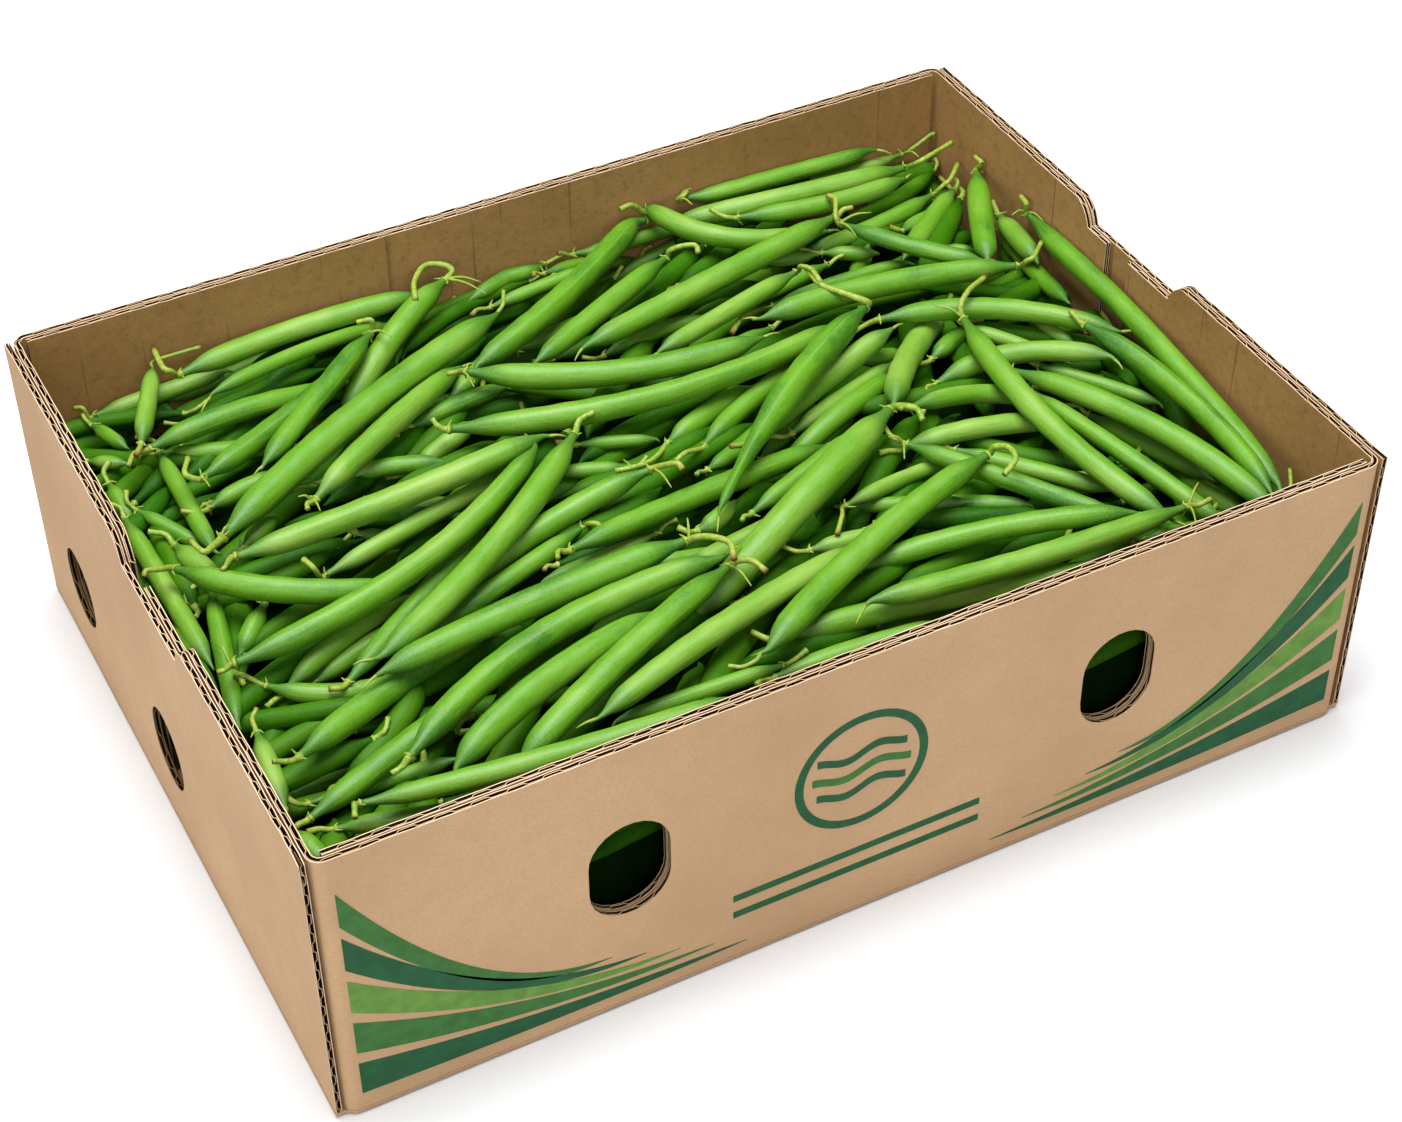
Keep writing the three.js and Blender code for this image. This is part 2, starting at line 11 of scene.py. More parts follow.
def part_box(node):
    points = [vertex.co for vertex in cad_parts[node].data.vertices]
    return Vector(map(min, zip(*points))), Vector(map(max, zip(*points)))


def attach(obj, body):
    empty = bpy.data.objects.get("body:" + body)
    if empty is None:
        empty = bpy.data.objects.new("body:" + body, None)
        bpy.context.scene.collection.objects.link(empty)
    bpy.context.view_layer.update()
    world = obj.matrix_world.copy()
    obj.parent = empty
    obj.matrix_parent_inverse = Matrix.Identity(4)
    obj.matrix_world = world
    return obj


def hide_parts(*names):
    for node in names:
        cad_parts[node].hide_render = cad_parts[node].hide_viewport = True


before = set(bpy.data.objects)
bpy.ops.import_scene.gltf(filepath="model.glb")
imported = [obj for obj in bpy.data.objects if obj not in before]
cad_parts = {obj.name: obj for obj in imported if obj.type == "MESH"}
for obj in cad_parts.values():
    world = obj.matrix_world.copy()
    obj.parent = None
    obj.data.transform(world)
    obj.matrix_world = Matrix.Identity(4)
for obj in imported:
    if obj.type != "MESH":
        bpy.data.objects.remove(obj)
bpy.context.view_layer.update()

MM = 0.001
TAU = 2 * math.pi
# Where the random draws of each kind of bean start
SEEDS = {"top": 1000, "low": 2000, "deep": 77, "hole": 5000}

# Carton, from the frame's own box
LENGTH, DEPTH, HEIGHT = ((high - low) / MM for low, high in zip(*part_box("tray_blank")))
BOARD = 1.8
LAYER_GAP = 0.4
FOLD_RADIUS = 4
FOLD_STEPS = 9
FLAP_END = {"front": 3, "back": 13}
END_BOARD_DEPTH = DEPTH - 3
LINER_LENGTH = 288
WALL = 2 * BOARD + LAYER_GAP
INSIDE_X = LENGTH / 2 - WALL
INSIDE_Y = DEPTH / 2 - WALL
LONG_HOLE = {"width": 22, "height": 31, "z": 49, "along": (-70, 70)}
END_HOLE = {"width": 22, "height": 24, "z": 30, "along": (0, 71)}
DIP = {"half": 27, "floor_half": 20, "depth": 7, "left": -5.7, "right": 2.6, "steps": 7, "over": 3}

# Corrugated board: its papers, the waves between them and their pitch in each layer
PAPER = 0.25
PAPER_STEP = 2.0
SKIN_INSET = 0.15
WAVE_PAPER = 0.2
WAVE_CLEAR = 0.15
WAVE_SHORT = 0.15
OUTER_PITCH = 9.0
INNER_PITCH = 8.2
END_PITCH = 6.4
WAVE_STEEPNESS = 5.0
EDGE_DEPTH = 5
WAVE_STEP = 0.23
# A worn paper's drift to the side near the rim, from slow waves added up, and its frayed top
ROUGHNESS = 0.12
DRIFT_MOST = 0.13
DRIFT_REACH = 7
DRIFT_WAVES = 9
DRIFT_SPEED = (0.02, 0.9)
DRIFT_SIZE = (0.3, 1)
FRAY_SPEED = 2.3
FRAY_SHARE = 0.35

# Beans, settled by the same rule as the solids: ends on the level plane PLAN_Z as seen from PLAN_EYE
PLAN_EYE = (-260, -513, 540)
PLAN_Z = 75
BEAN_SHARE = 0.89
BEAN_GAP = 0.6
STATIONS = 60
CELL = 0.5
ROUNDS = 6
MAX_TILT = 14
BENDS = (0, 3, -3, 6, -6)
PEDICEL_SHARE = 0.07
PEDICEL_RADIUS = 1.1
HEAP_TOP = 77.5
HEAP_LOW = 69
CROWN_FALL = (5, 4)
LOW_OVERLAP = 0.3
PROFILE = ((0, 0.36), (0.04, 0.44), (0.1, 0.86), (0.18, 1), (0.38, 1), (0.62, 1), (0.82, 1),
           (0.9, 0.88), (0.96, 0.5), (1, 0.18))
# The finer outline that is shown, from the neck to the beak
FINE_PROFILE = ((0, 0.33), (0.018, 0.34), (0.036, 0.41), (0.056, 0.54), (0.077, 0.7), (0.1, 0.85),
                (0.13, 0.95), (0.18, 1.0), (0.3, 1.02), (0.6, 1.02), (0.8, 1.0), (0.885, 0.95),
                (0.915, 0.86), (0.938, 0.72), (0.957, 0.55), (0.973, 0.39), (0.988, 0.27), (1.002, 0.19),
                (1.015, 0.13), (1.025, 0.09), (1.034, 0.05))
PROFILE_LENGTH = 100
BEHIND_HOLE = {"radius": 4.3, "half": 25, "pitch": 7.4, "rise": 3.5, "deeper": 2.0}
BEHIND_LONG_HOLE, BEHIND_END_HOLE = 4, 3
# Shift and tilt of the beans behind a hole, taken in turn
HOLE_LAYS = ((-6, 0.08), (7, 0.12))

# Calyx x y, tip x y, sideways bow, seen width, pedicel's lift and curl; topmost first
TOP_BEANS = (
    (104, -86.5, 13, -79, 2, 10, 2, 1), (97, 10.5, 98, -88, -5.5, 9.5, 4, 3),
    (-126, -83.5, -32, -94, -2, 9, 1, 1), (70, -44, -18, -83, -3.5, 10, 2, -3),
    (-12, -51, -88, -89, -2, 10, 2, -2), (-110, -75, -13, -50, 11.5, 11, 1, -1),
    (-12, -80, 78, -98, 2, 11, 1, 0), (-23, 16, -103, -40, 4, 9.5, 2, 2),
    (-17, -37, -105, -45, -1.5, 11.5, 1, -3), (57, -15, -27, -63, 0, 11.5, 1, -3),
    (-135, -25, -34, 16, -9, 10.5, 2, -2), (-136, 15, -88, -18, -5, 11, 3, 2),
    (-121, 11, -31, 18, 0, 12, 1, 1), (-121, 21, -19, 75, 4, 12.5, 2, -2),
    (75, 28.5, -4, -31, -4, 10.5, 3, 2), (-37, 55, 42, 30, -8, 13, 1, 0),
    (-51, 35, 66, 28, -12, 12.5, 1, 1), (124, 25.5, 47, 38, -4, 12.5, 4, 1),
    (90, 67, 113, 27, 1, 10, 4, 2), (125.5, -8, 127.5, -92, 5, 9.5, 3, 0),
    (76, 21.5, 131, -16, 10.5, 12, 1, 0), (142, 46, 131, -92, 2, 9, 3, 0),
    (90, 72, -3, 50, 0, 11.5, 3, 1), (43, 107, 84, 67, -11, 13, 2, 0),
    (40, 101, -34, 56, 3, 11, 1, 0), (-54, 84, -101, 44, 0, 9, 3, 1),
    (-117, 46.5, -64, 73, -1, 10.5, 2, 2), (-25, 98, -74, 57, -1, 10, 3, 1),
    (-107, 91.5, -33, 96.5, 4, 12, 3, -1), (-127, 68, -113, 98, 0, 6.5, 2, 0),
    (122, 85, 46, 92.5, 1, 12, 3, 0), (52, 102, 119, 98, 3, 10.5, 2, 0),
    (127, 96, 66, 95, 1, 8, 4, 1), (-94, 24, -38, 58, 1.5, 9.5, 1, 1),
    (75, -11, 124, -24, 8, 11, 0, 0), (96, -16, 124, -99, 7, 10.5, 0, 0),
    (95, -26, 109, -98, 1, 8.5, 0, 0), (-125, 66, -58, 75, 2, 11, 0, 0),
    (-38, 88, -103, 79, 0, 7.5, 0, 0), (36, 77, -18, 50, 0, 9, 2, 1),
    (60, 76, 119, 80, -3.5, 9.5, 0, 0), (139, 71, 117, 30, 0, 8, 3, 0),
    (66, 53, 14, 38, 0, 8.5, 1, 1), (18, -9, 77, 17, 1, 9.5, 0, 0),
    (95, 18, 60, -13, -3, 9, 0, 0), (-12, -7, -78, -27, -3, 10, 1, -1),
    (-44, -26, 34, -20, 1, 10.5, 0, 0), (-33, -59, -103, -86, -6.5, 10.5, 0, 0),
    (24, -60, -64, -84, -3, 9.5, 0, 0), (17, -67, 88, -86, 6.5, 10.5, 0, 0),
    (54, -30, 87, -83, 0, 9.5, 1, 1), (52, -31, 96, -41, 3, 10, 0, 0),
    (63, -17, 98, -33, 5, 10, 0, 0), (-133, -62.5, -72, -42, 2, 10, 1, 0),
)
LOW_BEANS = (
    (122, 69, 74, 62, 2, 8.5), (129, 68, 98, 45, 0, 8), (53, 42, 98, 42, 1, 8),
    (14, 106, 60, 92, 0, 9), (6, -4.5, 52, 16, 2, 8), (-2, 1, 30, 13, 1, 9),
    (47, 33, 8, 22, 0, 9), (-103, -5, -42, 11, 0, 8.5), (-38, -19.5, -92, -39, 0, 8),
    (-113, -44, -62, -14, 0, 8), (4, -35, 45, -19, 0, 7.5), (68, -1, 20, -22, 0, 8.5),
    (-17, -89, -62, -87, 0, 7), (-138, -82, -88, -62, 0, 9), (-131, -36, -100, -48, -4, 8),
    (-141, 40, -140.5, -22, 0, 6.5), (-131, 3, -142, -45, 0, 6), (-124, 62, -125, 17, 0, 6),
    (-25, -47, 18, -40, 0, 8), (64, -38, 92, -72, 0, 9),
    (-134, 86, -95, 88, 0, 9), (-118, 90, -62, 87, 2, 8), (-124, 61, -90, 48, 0, 9),
    (-18, 80, 15, 84, 0, 8), (2, 87, 30, 90, 0, 8), (6, 93, 60, 96, 0, 8),
    (4, 95, -22, 86, 0, 8), (76, 52, 46, 47, 0, 8), (134, 50, 131, 25, 0, 9),
    (130, 43, 128, 5, 0, 8), (96, 8, 112, -20, 0, 8), (114, 1, 118, -14, 0, 7),
    (104, -17, 124, -47, 0, 8), (104, -42, 117, -80, 0, 8), (112, -70, 116, -96, 0, 8),
    (30, -10, 68, 2, 0, 8), (18, -14, 45, -4, 0, 7), (2, -14, 24, -8, 0, 7),
    (27, -44, 64, -41, 1, 7), (27, -42, 56, -58, 0, 8), (45, -53, 70, -66, 0, 9),
    (10, -55, 30, -58, 0, 8), (-30, -40, -8, -46, 0, 8), (-14, -39, 2, -29, 0, 7),
    (-22, -30, -55, -33, 1, 7), (-127, -38, -85, -22, 2, 8), (-121, -40, -92, -32, 1, 8.5),
    (-137, -79, -100, -80, 1, 7), (-134, -88, -106, -96, 0, 8), (-121, -8, -133, -23, 0, 7),
    (-137, 42, -126, 20, 0, 6), (-133, 24, -128, 5, 0, 8), (-120, 34, -98, 38, 1, 9),
    (-118, 15, -106, 22, 0, 8), (-92, 30, -58, 22, 2, 9), (-66, 26, -44, 34, 0, 9),
    (-90, 26, -70, 45, 0, 8), (-60, 40, -30, 44, 1, 9), (-46, 46, -22, 62, 0, 8),
    (-20, 58, 10, 62, 0, 9), (0, 44, 34, 46, 2, 8), (60, 62, 76, 58, 0, 8),
    (78, 58, 92, 50, 0, 9), (104, 56, 118, 60, 0, 8), (80, 44, 90, 52, 0, 7),
    (110, 44, 118, 38, 0, 7), (-90, 6, -80, -4, 0, 8), (-74, 10, -60, 2, 0, 9),
    (-24, 12, -4, 4, 0, 7), (-16, -3, -34, 4, 0, 8), (60, 8, 74, 5, 0, 9),
    (82, 3, 96, 8, 0, 8), (-20, -91, 26, -95, 1, 8), (88, -92, 112, -97, 0, 8),
    (-142, 68, -133, 62, 0, 7), (-136, 82, -131, 68, 0, 6), (-140, 56, -140, 38, 0, 6),
    (-139, -50, -142, -76, 0, 6), (-143, -84, -140, -98, 0, 7), (58, -94, 84, -97, 0, 8),
)

# Pedicels that curl in their own way, as points on the plan plane past the calyx; by bean number
TOP_ROUTES = {
    1: ((108, -87.5), (112, -87)), 2: ((100, 17), (106, 22), (113, 25)),
    3: ((-127.5, -83), (-129, -87)), 4: ((74, -42), (77, -44), (76, -49), (70, -53)),
    5: ((-8, -50), (-5, -52), (-4, -57)), 6: ((-113, -77), (-116, -78)),
    9: ((-13, -37), (-9.5, -39), (-7, -43), (-9, -49)), 10: ((61, -15), (64, -18), (63, -23)),
    11: ((-138, -26), (-140, -26)), 12: ((-140, 17), (-143, 18), (-145, 16)),
    13: ((-124.5, 10), (-126, 9)), 14: ((-124.5, 19), (-127.5, 18), (-129, 24)),
    15: ((77, 31), (73, 38), (69.5, 45), (70, 54)), 16: ((-40, 56.5), (-42, 57)),
    18: ((128, 26), (131, 27), (137, 32)), 19: ((91, 73), (95, 80), (94, 83)),
    21: ((71, 21.5), (66, 20)), 22: ((144, 51), (146, 55)),
    24: ((40, 109), (36, 106)), 26: ((-51, 90), (-55, 91)), 27: ((-121, 50), (-118, 56)),
    28: ((-21, 101), (-22, 105), (-27, 108), (-33, 101), (-36, 93)),
    29: ((-109, 94), (-110.5, 97), (-110, 107)), 31: ((129, 86), (142, 90)),
    32: ((56, 103.5), (58, 105)), 33: ((131, 93.5), (137.5, 97.5), (140.6, 103), (140, 107.5)),
    40: ((39, 80), (43, 80.5), (47, 79), (46, 75)), 42: ((144, 76), (144, 80)),
    43: ((69, 55), (71, 52), (70, 45)), 46: ((-7, -7), (-4, -8), (-4, -11)),
}
LOW_ROUTES = {
    1: ((127, 71), (131, 73), (139, 79)), 3: ((47, 42), (42, 41), (36, 36)),
    5: ((0, -5), (-4, -7)), 6: ((-8, -3), (-13, -4), (-20, -3)), 8: ((-105, -1), (-106, 3)),
    9: ((-35, -19), (-33.5, -20.5), (-34, -24)), 21: ((-136, 90), (-138, 96)),
    39: ((24, -47), (19, -53)),
}
# Thin side shoots: bean number to where each ends on the plan plane
TOP_SHOOTS = {
    1: ((113, -80), (103, -93)), 2: ((93, 20),), 5: ((-10, -60),), 9: ((-12, -29),),
    11: ((-136, -17),), 14: ((-118, 25),), 16: ((-38, 48),), 19: ((91, 61), (101, 69)),
    22: ((137, 48), (148, 41)), 26: ((-49, 80),), 27: ((-117, 42),), 28: ((-16, 92), (-17, 86)),
    32: ((60, 108), (56, 98)), 33: ((129, 88),), 34: ((-98, 27), (-95, 19)),
    46: ((-10, -16),), 51: ((51, -25), (50, -35)),
}
# Thin ends that go on past a bean's tip
TIP_ROUTES = {
    4: ((-22, -84.5), (-26, -85), (-29, -83)), 14: ((-15, 79), (-12, 85)),
    22: ((133, -93), (142, -87)), 30: ((-112, 101), (-104, 106), (-98, 101)),
}
# Beans whose tip end runs out long and thin: bean number to where it starts, as a share of the length
LONG_TIPS = {15: 0.5}


# Settling the beans

columns = round(2 * INSIDE_X / CELL)
rows = round(2 * INSIDE_Y / CELL)
underside = np.full((rows, columns), float(HEIGHT))


def crown(x, y):
    """The heap is fullest in the middle and falls a little towards the walls."""
    return -CROWN_FALL[0] * abs(x / INSIDE_X) ** 3 - CROWN_FALL[1] * abs(y / INSIDE_Y) ** 3


def footprint(x, y, radius):
    """The window of cells under a ball, and how far the ball stands out there; none is NaN."""
    first = max(0, math.floor((x - radius + INSIDE_X) / CELL))
    last = min(columns - 1, math.floor((x + radius + INSIDE_X) / CELL))
    bottom = max(0, math.floor((y - radius + INSIDE_Y) / CELL))
    top = min(rows - 1, math.floor((y + radius + INSIDE_Y) / CELL))
    dx = (np.arange(first, last + 1) + 0.5) * CELL - INSIDE_X - x
    dy = (np.arange(bottom, top + 1) + 0.5) * CELL - INSIDE_Y - y
    left = radius * radius - dx[None, :] ** 2 - dy[:, None] ** 2
    reach = np.sqrt(np.where(left > 0, left, np.nan))
    return (slice(bottom, top + 1), slice(first, last + 1)), reach


def thickness(radius, t):
    """Half thickness at t; below 0 is the pedicel."""
    if t < 0:
        return PEDICEL_RADIUS
    return radius * float(np.interp(t, *zip(*PROFILE)))


def plan_point(bean, t):
    """A bean's point at t on the plan plane, on its bow, with the pedicel curling aside."""
    x0, y0, x1, y1, bow = bean[:5]
    curl = bean[7] if len(bean) > 7 else 0
    long = math.hypot(x1 - x0, y1 - y0)
    if t < 0:
        push = 4 * bow * t / long + curl * (t / PEDICEL_SHARE) ** 2 / long
    else:
        push = 4 * bow * t * (1 - t) / long
    return x0 + (x1 - x0) * t - (y1 - y0) * push, y0 + (y1 - y0) * t + (x1 - x0) * push


def clamp(value, limit):
    return max(-limit, min(limit, value))


def slide(point, z, radius):
    """From the plan plane along the line of sight to height z, and off the walls."""
    part = (PLAN_EYE[2] - z) / (PLAN_EYE[2] - PLAN_Z)
    margin = radius + BEAN_GAP
    return (clamp(PLAN_EYE[0] + (point[0] - PLAN_EYE[0]) * part, INSIDE_X - margin),
            clamp(PLAN_EYE[1] + (point[1] - PLAN_EYE[1]) * part, INSIDE_Y - margin))


def half_thickness(bean):
    """Half thickness from the width seen slantwise on the plan plane."""
    x0, y0, x1, y1, _, width = bean[:6]
    down = PLAN_EYE[2] - PLAN_Z
    slant_x = ((x0 + x1) / 2 - PLAN_EYE[0]) / down
    slant_y = ((y0 + y1) / 2 - PLAN_EYE[1]) / down
    across = (slant_x * (y1 - y0) - slant_y * (x1 - x0)) / math.hypot(x1 - x0, y1 - y0)
    return BEAN_SHARE * width / 2 / math.hypot(1, across)


def pressed_line(stations, heights):
    """The line that touches the limits on both sides of the middle from below."""
    hull = []
    for point in zip(stations, heights):
        while len(hull) > 1:
            a, b = hull[-2:]
            if (b[1] - a[1]) * (point[0] - a[0]) < (point[1] - a[1]) * (b[0] - a[0]):
                break
            hull.pop()
        hull.append(point)
    after = max(1, next(index for index, (t, _) in enumerate(hull) if t >= 0.5))
    a, b = hull[after - 1], hull[after]
    slope = clamp((b[1] - a[1]) / (b[0] - a[0]), MAX_TILT)
    return float(np.min(heights - slope * stations)), slope


def pressed_curve(stations, heights):
    """Heights along the bean for the bend that lies highest; a bend costs a fifth of itself."""
    best = None
    arch = 4 * np.maximum(stations, 0) * (1 - stations)
    for bend in BENDS:
        start, slope = pressed_line(stations, heights - bend * arch)
        score = start + slope / 2 + 2 * bend / 3 - abs(bend) / 5
        if best is None or score > best[0]:
            best = score, start + slope * stations + bend * arch
    return best[1]


def press_bean(bean, cap, overlap, floor=None, bite=0.0):
    """Presses a bean up from below against those already there, a bite into them, and notes its
    underside. One that would lie below the floor is left out."""
    radius = half_thickness(bean)
    first = -round(PEDICEL_SHARE * STATIONS) if len(bean) > 6 else 0
    stations = np.arange(first, STATIONS + 1) / STATIONS
    lift = np.where(stations < 0, (stations / PEDICEL_SHARE) ** 2, 0) * (bean[6] if len(bean) > 6 else 0)
    balls = np.array([thickness(radius, t) for t in stations])
    plan = [plan_point(bean, t) for t in stations]
    curve = np.full(len(stations), float(PLAN_Z))
    places = []
    for turn in range(ROUNDS):
        before = curve
        places = [slide(point, z, ball) for point, z, ball in zip(plan, before, balls)]
        limits = []
        for (x, y), ball, up in zip(places, balls, lift):
            window, reach = footprint(x, y, ball)
            free = np.nanmin(underside[window] - reach) - BEAN_GAP + bite
            limits.append(min(cap + crown(x, y) + up, free) - up)
        found = pressed_curve(stations, np.array(limits))
        curve = (before + found) / 2 if turn + 1 < ROUNDS else found
    heights = curve + lift
    if floor is not None and np.min(heights) < floor:
        return None
    for (x, y), z, ball in zip(places, heights, balls):
        window, reach = footprint(x, y, ball)
        underside[window] = np.fmin(underside[window], z - reach + overlap)
    points = np.column_stack([np.array(places), heights])
    shown = stations >= 0
    return {"t": stations[shown], "points": points[shown], "radius": radius, "bean": bean}


# Mesh making

def make_object(name, points, faces, slots=None, materials=(), attributes=None, smooth=True):
    """A mesh object in metres from points in millimetres."""
    mesh = bpy.data.meshes.new(name)
    mesh.from_pydata([tuple(p) for p in np.asarray(points) * MM], [], faces)
    for material in materials:
        mesh.materials.append(material)
    if slots is not None:
        mesh.polygons.foreach_set("material_index", slots)
    for key, values in (attributes or {}).items():
        layer = mesh.attributes.new(key, "FLOAT_VECTOR", "POINT")
        layer.data.foreach_set("vector", np.asarray(values, dtype=float).ravel())
    if smooth:
        mesh.shade_smooth()
    mesh.update()
    made = bpy.data.objects.new(name, mesh)
    bpy.context.scene.collection.objects.link(made)
    return made


class Shape:
    """Points, faces and what is painted on them, gathered before they become one mesh."""

    def __init__(self):
        self.points, self.grain, self.growth, self.faces, self.slots = [], [], [], [], []

    def tube(self, centres, radii, sides, slot, grain, growth, roll=0.0, section=None):
        """A closed tube. grain and growth give each ring's painted vectors; section(angle, ring)
        is a factor on the radius."""
        centres = np.asarray(centres, dtype=float)
        along = np.gradient(centres, axis=0)
        along /= np.linalg.norm(along, axis=1)[:, None]
        guide = np.array([0.0, 0.0, 1.0])
        if abs(along[0][2]) > 0.9:
            guide = np.array([1.0, 0.0, 0.0])
        across = np.cross(guide, along)
        across /= np.linalg.norm(across, axis=1)[:, None]
        up = np.cross(along, across)
        angles = TAU * np.arange(sides) / sides
        base = len(self.points)
        for ring, centre in enumerate(centres):
            for angle in angles:
                factor = section(angle, ring) if section else 1.0
                reach = radii[ring] * factor
                turn = angle + roll
                out = math.cos(turn) * across[ring] + math.sin(turn) * up[ring]
                self.points.append(centre + reach * out)
                self.grain.append(grain(ring, angle))
                self.growth.append(growth(ring, angle))
        for ring in range(len(centres) - 1):
            for side in range(sides):
                a = base + ring * sides + side
                b = base + ring * sides + (side + 1) % sides
                self.faces.append((a, b, b + sides, a + sides))
        self.faces.append(tuple(base + side for side in reversed(range(sides))))
        last = base + (len(centres) - 1) * sides
        self.faces.append(tuple(last + side for side in range(sides)))
        self.slots += [slot] * (len(self.faces) - len(self.slots))

    def make(self, name, materials):
        return make_object(name, self.points, self.faces, self.slots, materials,
                           {"grain": self.grain, "growth": self.growth})


def smooth_curve(points, count):
    """A Catmull-Rom curve through points."""
    points = np.asarray(points, dtype=float)
    padded = np.vstack([2 * points[0] - points[1], points, 2 * points[-1] - points[-2]])
    found = []
    for step in np.linspace(0, len(points) - 1, count):
        index = min(int(step), len(points) - 2)
        u = step - index
        p0, p1, p2, p3 = padded[index:index + 4]
        found.append(0.5 * (2 * p1 + (p2 - p0) * u + (2 * p0 - 5 * p1 + 4 * p2 - p3) * u * u
                            + (3 * p1 - p0 - 3 * p2 + p3) * u ** 3))
    return np.array(found)


# Beans

# Material slots; SHADE is the core's painted deep shade, and the dim and deep skins are the pods' skin
# darkened as painted shade
SKIN, STALK, SHADE, HOLE_PAINTED_SHADE_SKIN, DEEP_PAINTED_SHADE_SKIN = 0, 1, 2, 3, 4
# Sides, rings in its length and material of each kind of pod
POD_KINDS = {"top": (16, 62, SKIN), "low": (12, 40, SKIN), "deep": (9, 24, DEEP_PAINTED_SHADE_SKIN),
             "hole": (12, 30, HOLE_PAINTED_SHADE_SKIN)}
# Shares of the length: where the neck ends, where the tip starts, how far the beak runs on
NECK_END = 0.16
NECK_FINER = 0.7
TIP_START = 0.86
TIP_RINGS = (8, 0.3)
POD_END = 1.034
TAIL_SHARE = 0.032
TAIL_DROP = 0.6
# A long thin tip: how far on it narrows, and to what shares of the radius
LONG_TIP = ((0, 0.16, 0.32), (1, 0.66, 0.42))
# Slow swells of the radius: size, length and phase
WOBBLES = ((0.03, 23, 1), (0.015, 7, 2))
WOBBLE_END = 0.9
# The seeds' swells fade in and out at these shares; the section is flattened between the seams
SEED_SPACING = 10.5
SEED_SWELL = 0.022
SEEDS_FROM, SEEDS_TO, SEEDS_FADE = 0.14, 0.88, 0.1
SEAM_WIDTH = 0.24
SEAM_HEIGHT = 0.03
FLATNESS = 0.05
# What the skin's pattern is painted on: a bar of this radius, at a place of its own for each pod
GRAIN_RADIUS = 4
GRAIN_PLACES = 40
GRAIN_SHIFT = 60
TINT_SHIFT = 30

# Stalks: rings and sides, the highest they reach, and the calyx as (way along, share of the neck)
STALK_FINE, STALK_COARSE = (26, 8), (9, 5)
STALK_TOP = 86
STALK_ARCH = 2.2
STALK_MARGIN = 1.2
CALYX_PROFILE = ((0, 0.9), (0.5, 1.2), (0.95, 1.16), (1.3, 0.88), (2.2, 0.8))
SEPALS = 3
SEPAL_RADIUS = 0.36
SHOOT_RADIUS = 0.5
SHOOT_END = 0.35
SHOOT_ARCH = 1.2
# Random lengths, each from the first number to the two added up
STALK_LIFT = (2.5, 2.5)
STALK_REACH = (3.5, 4)
STALK_END = (0.6, 0.25)
SEPAL_OUT = (0.3, 1.3)
SEPAL_BACK = (0.8, -2.6)
SHOOT_LIFT = (1.5, 3)
BEAK_LENGTH = (2.2, 2.2)

# Tips that go on along a route, and dry beaks
ROUTED_TIP = {"rings": 16, "sides": 7, "end": 0.6, "rise": 1.5}
BEAK = {"sideways": 1.3, "margin": 1, "drop": 1, "arch": 0.4}


def draw(rng, low, more):
    return low + more * rng.random()


def ride(piece, slot, *nodes):
    """A piece of the carton or its beans; it stands for the nodes, if there are any."""
    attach(piece, "root")
    if nodes:
        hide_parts(*nodes)


def add_pod(shape, path, kind, rng, thin_from=None):
    """The pod itself, from its neck to its thin beak; from thin_from on it narrows early."""
    sides, rings, slot = POD_KINDS[kind]
    step = 1 / rings
    tint = rng.random()
    t, points, radius = path["t"], path["points"], path["radius"]
    stops = np.concatenate([np.arange(0, NECK_END, step * NECK_FINER), np.arange(NECK_END, TIP_START, step),
                            np.linspace(TIP_START, POD_END, max(TIP_RINGS[0], int(TIP_RINGS[1] / step)))])
    tail = points[-1] + (points[-1] - points[-3]) * (TAIL_SHARE * STATIONS / 2)
    tail[:2] += (rng.random() - 0.5) * np.array([1, -1]) * (points[-1] - points[-5])[[1, 0]]
    tail[2] -= TAIL_DROP
    t_all = np.append(t, POD_END)
    points = np.vstack([points, tail])
    centres = np.column_stack([np.interp(stops, t_all, points[:, axis]) for axis in range(3)])
    for _ in range(2):
        centres[1:-1] = (centres[:-2] + 2 * centres[1:-1] + centres[2:]) / 4
    length = np.linalg.norm(np.diff(points, axis=0), axis=1).sum()
    share = math.sqrt(length / PROFILE_LENGTH)
    template = np.where(stops < 0.5, np.minimum(stops * share, 0.5), np.maximum(1 - (1 - stops) * share, 0.5))
    radii = radius * np.interp(template, *zip(*FINE_PROFILE))
    radii[1:-1] = (radii[:-2] + 2 * radii[1:-1] + radii[2:]) / 4
    if thin_from:
        on, shares = LONG_TIP
        radii = radii * np.interp(stops, [thin_from + part for part in on], shares)
    phase = rng.random() * TAU
    wobble = sum(size * np.sin(stops * length / long + turn * phase) for size, long, turn in WOBBLES)
    radii = radii * (1 + wobble * (stops < WOBBLE_END))
    shift = GRAIN_SHIFT * (rng.random() * GRAIN_PLACES)
    seeds = np.sin(TAU * stops * length / SEED_SPACING + phase)
    fade = np.clip((template - SEEDS_FROM) / SEEDS_FADE, 0, 1)
    fade = fade * np.clip((SEEDS_TO - template) / SEEDS_FADE, 0, 1)

    def section(angle, ring):
        seam = math.exp(-(min(angle, TAU - angle) / SEAM_WIDTH) ** 2)
        seam += math.exp(-((angle - math.pi) / SEAM_WIDTH) ** 2)
        swell = SEED_SWELL * seeds[ring] * abs(math.sin(angle)) * fade[ring]
        return 1 - FLATNESS * abs(math.sin(angle)) ** 2 + SEAM_HEIGHT * seam * fade[ring] + swell

    def grain(ring, angle):
        return stops[ring] * length, GRAIN_RADIUS * math.cos(angle), GRAIN_RADIUS * math.sin(angle) + shift

    def growth(ring, angle):
        return template[ring], math.cos(angle), tint

    shape.tube(centres, radii, sides, slot, grain, growth, roll=rng.random() * TAU, section=section)
    return centres, radii


def spot(point, z, radius=0.9):
    """A point of the plan plane at height z, seen along the same line of sight."""
    return np.array([*slide(point, z, radius), z])


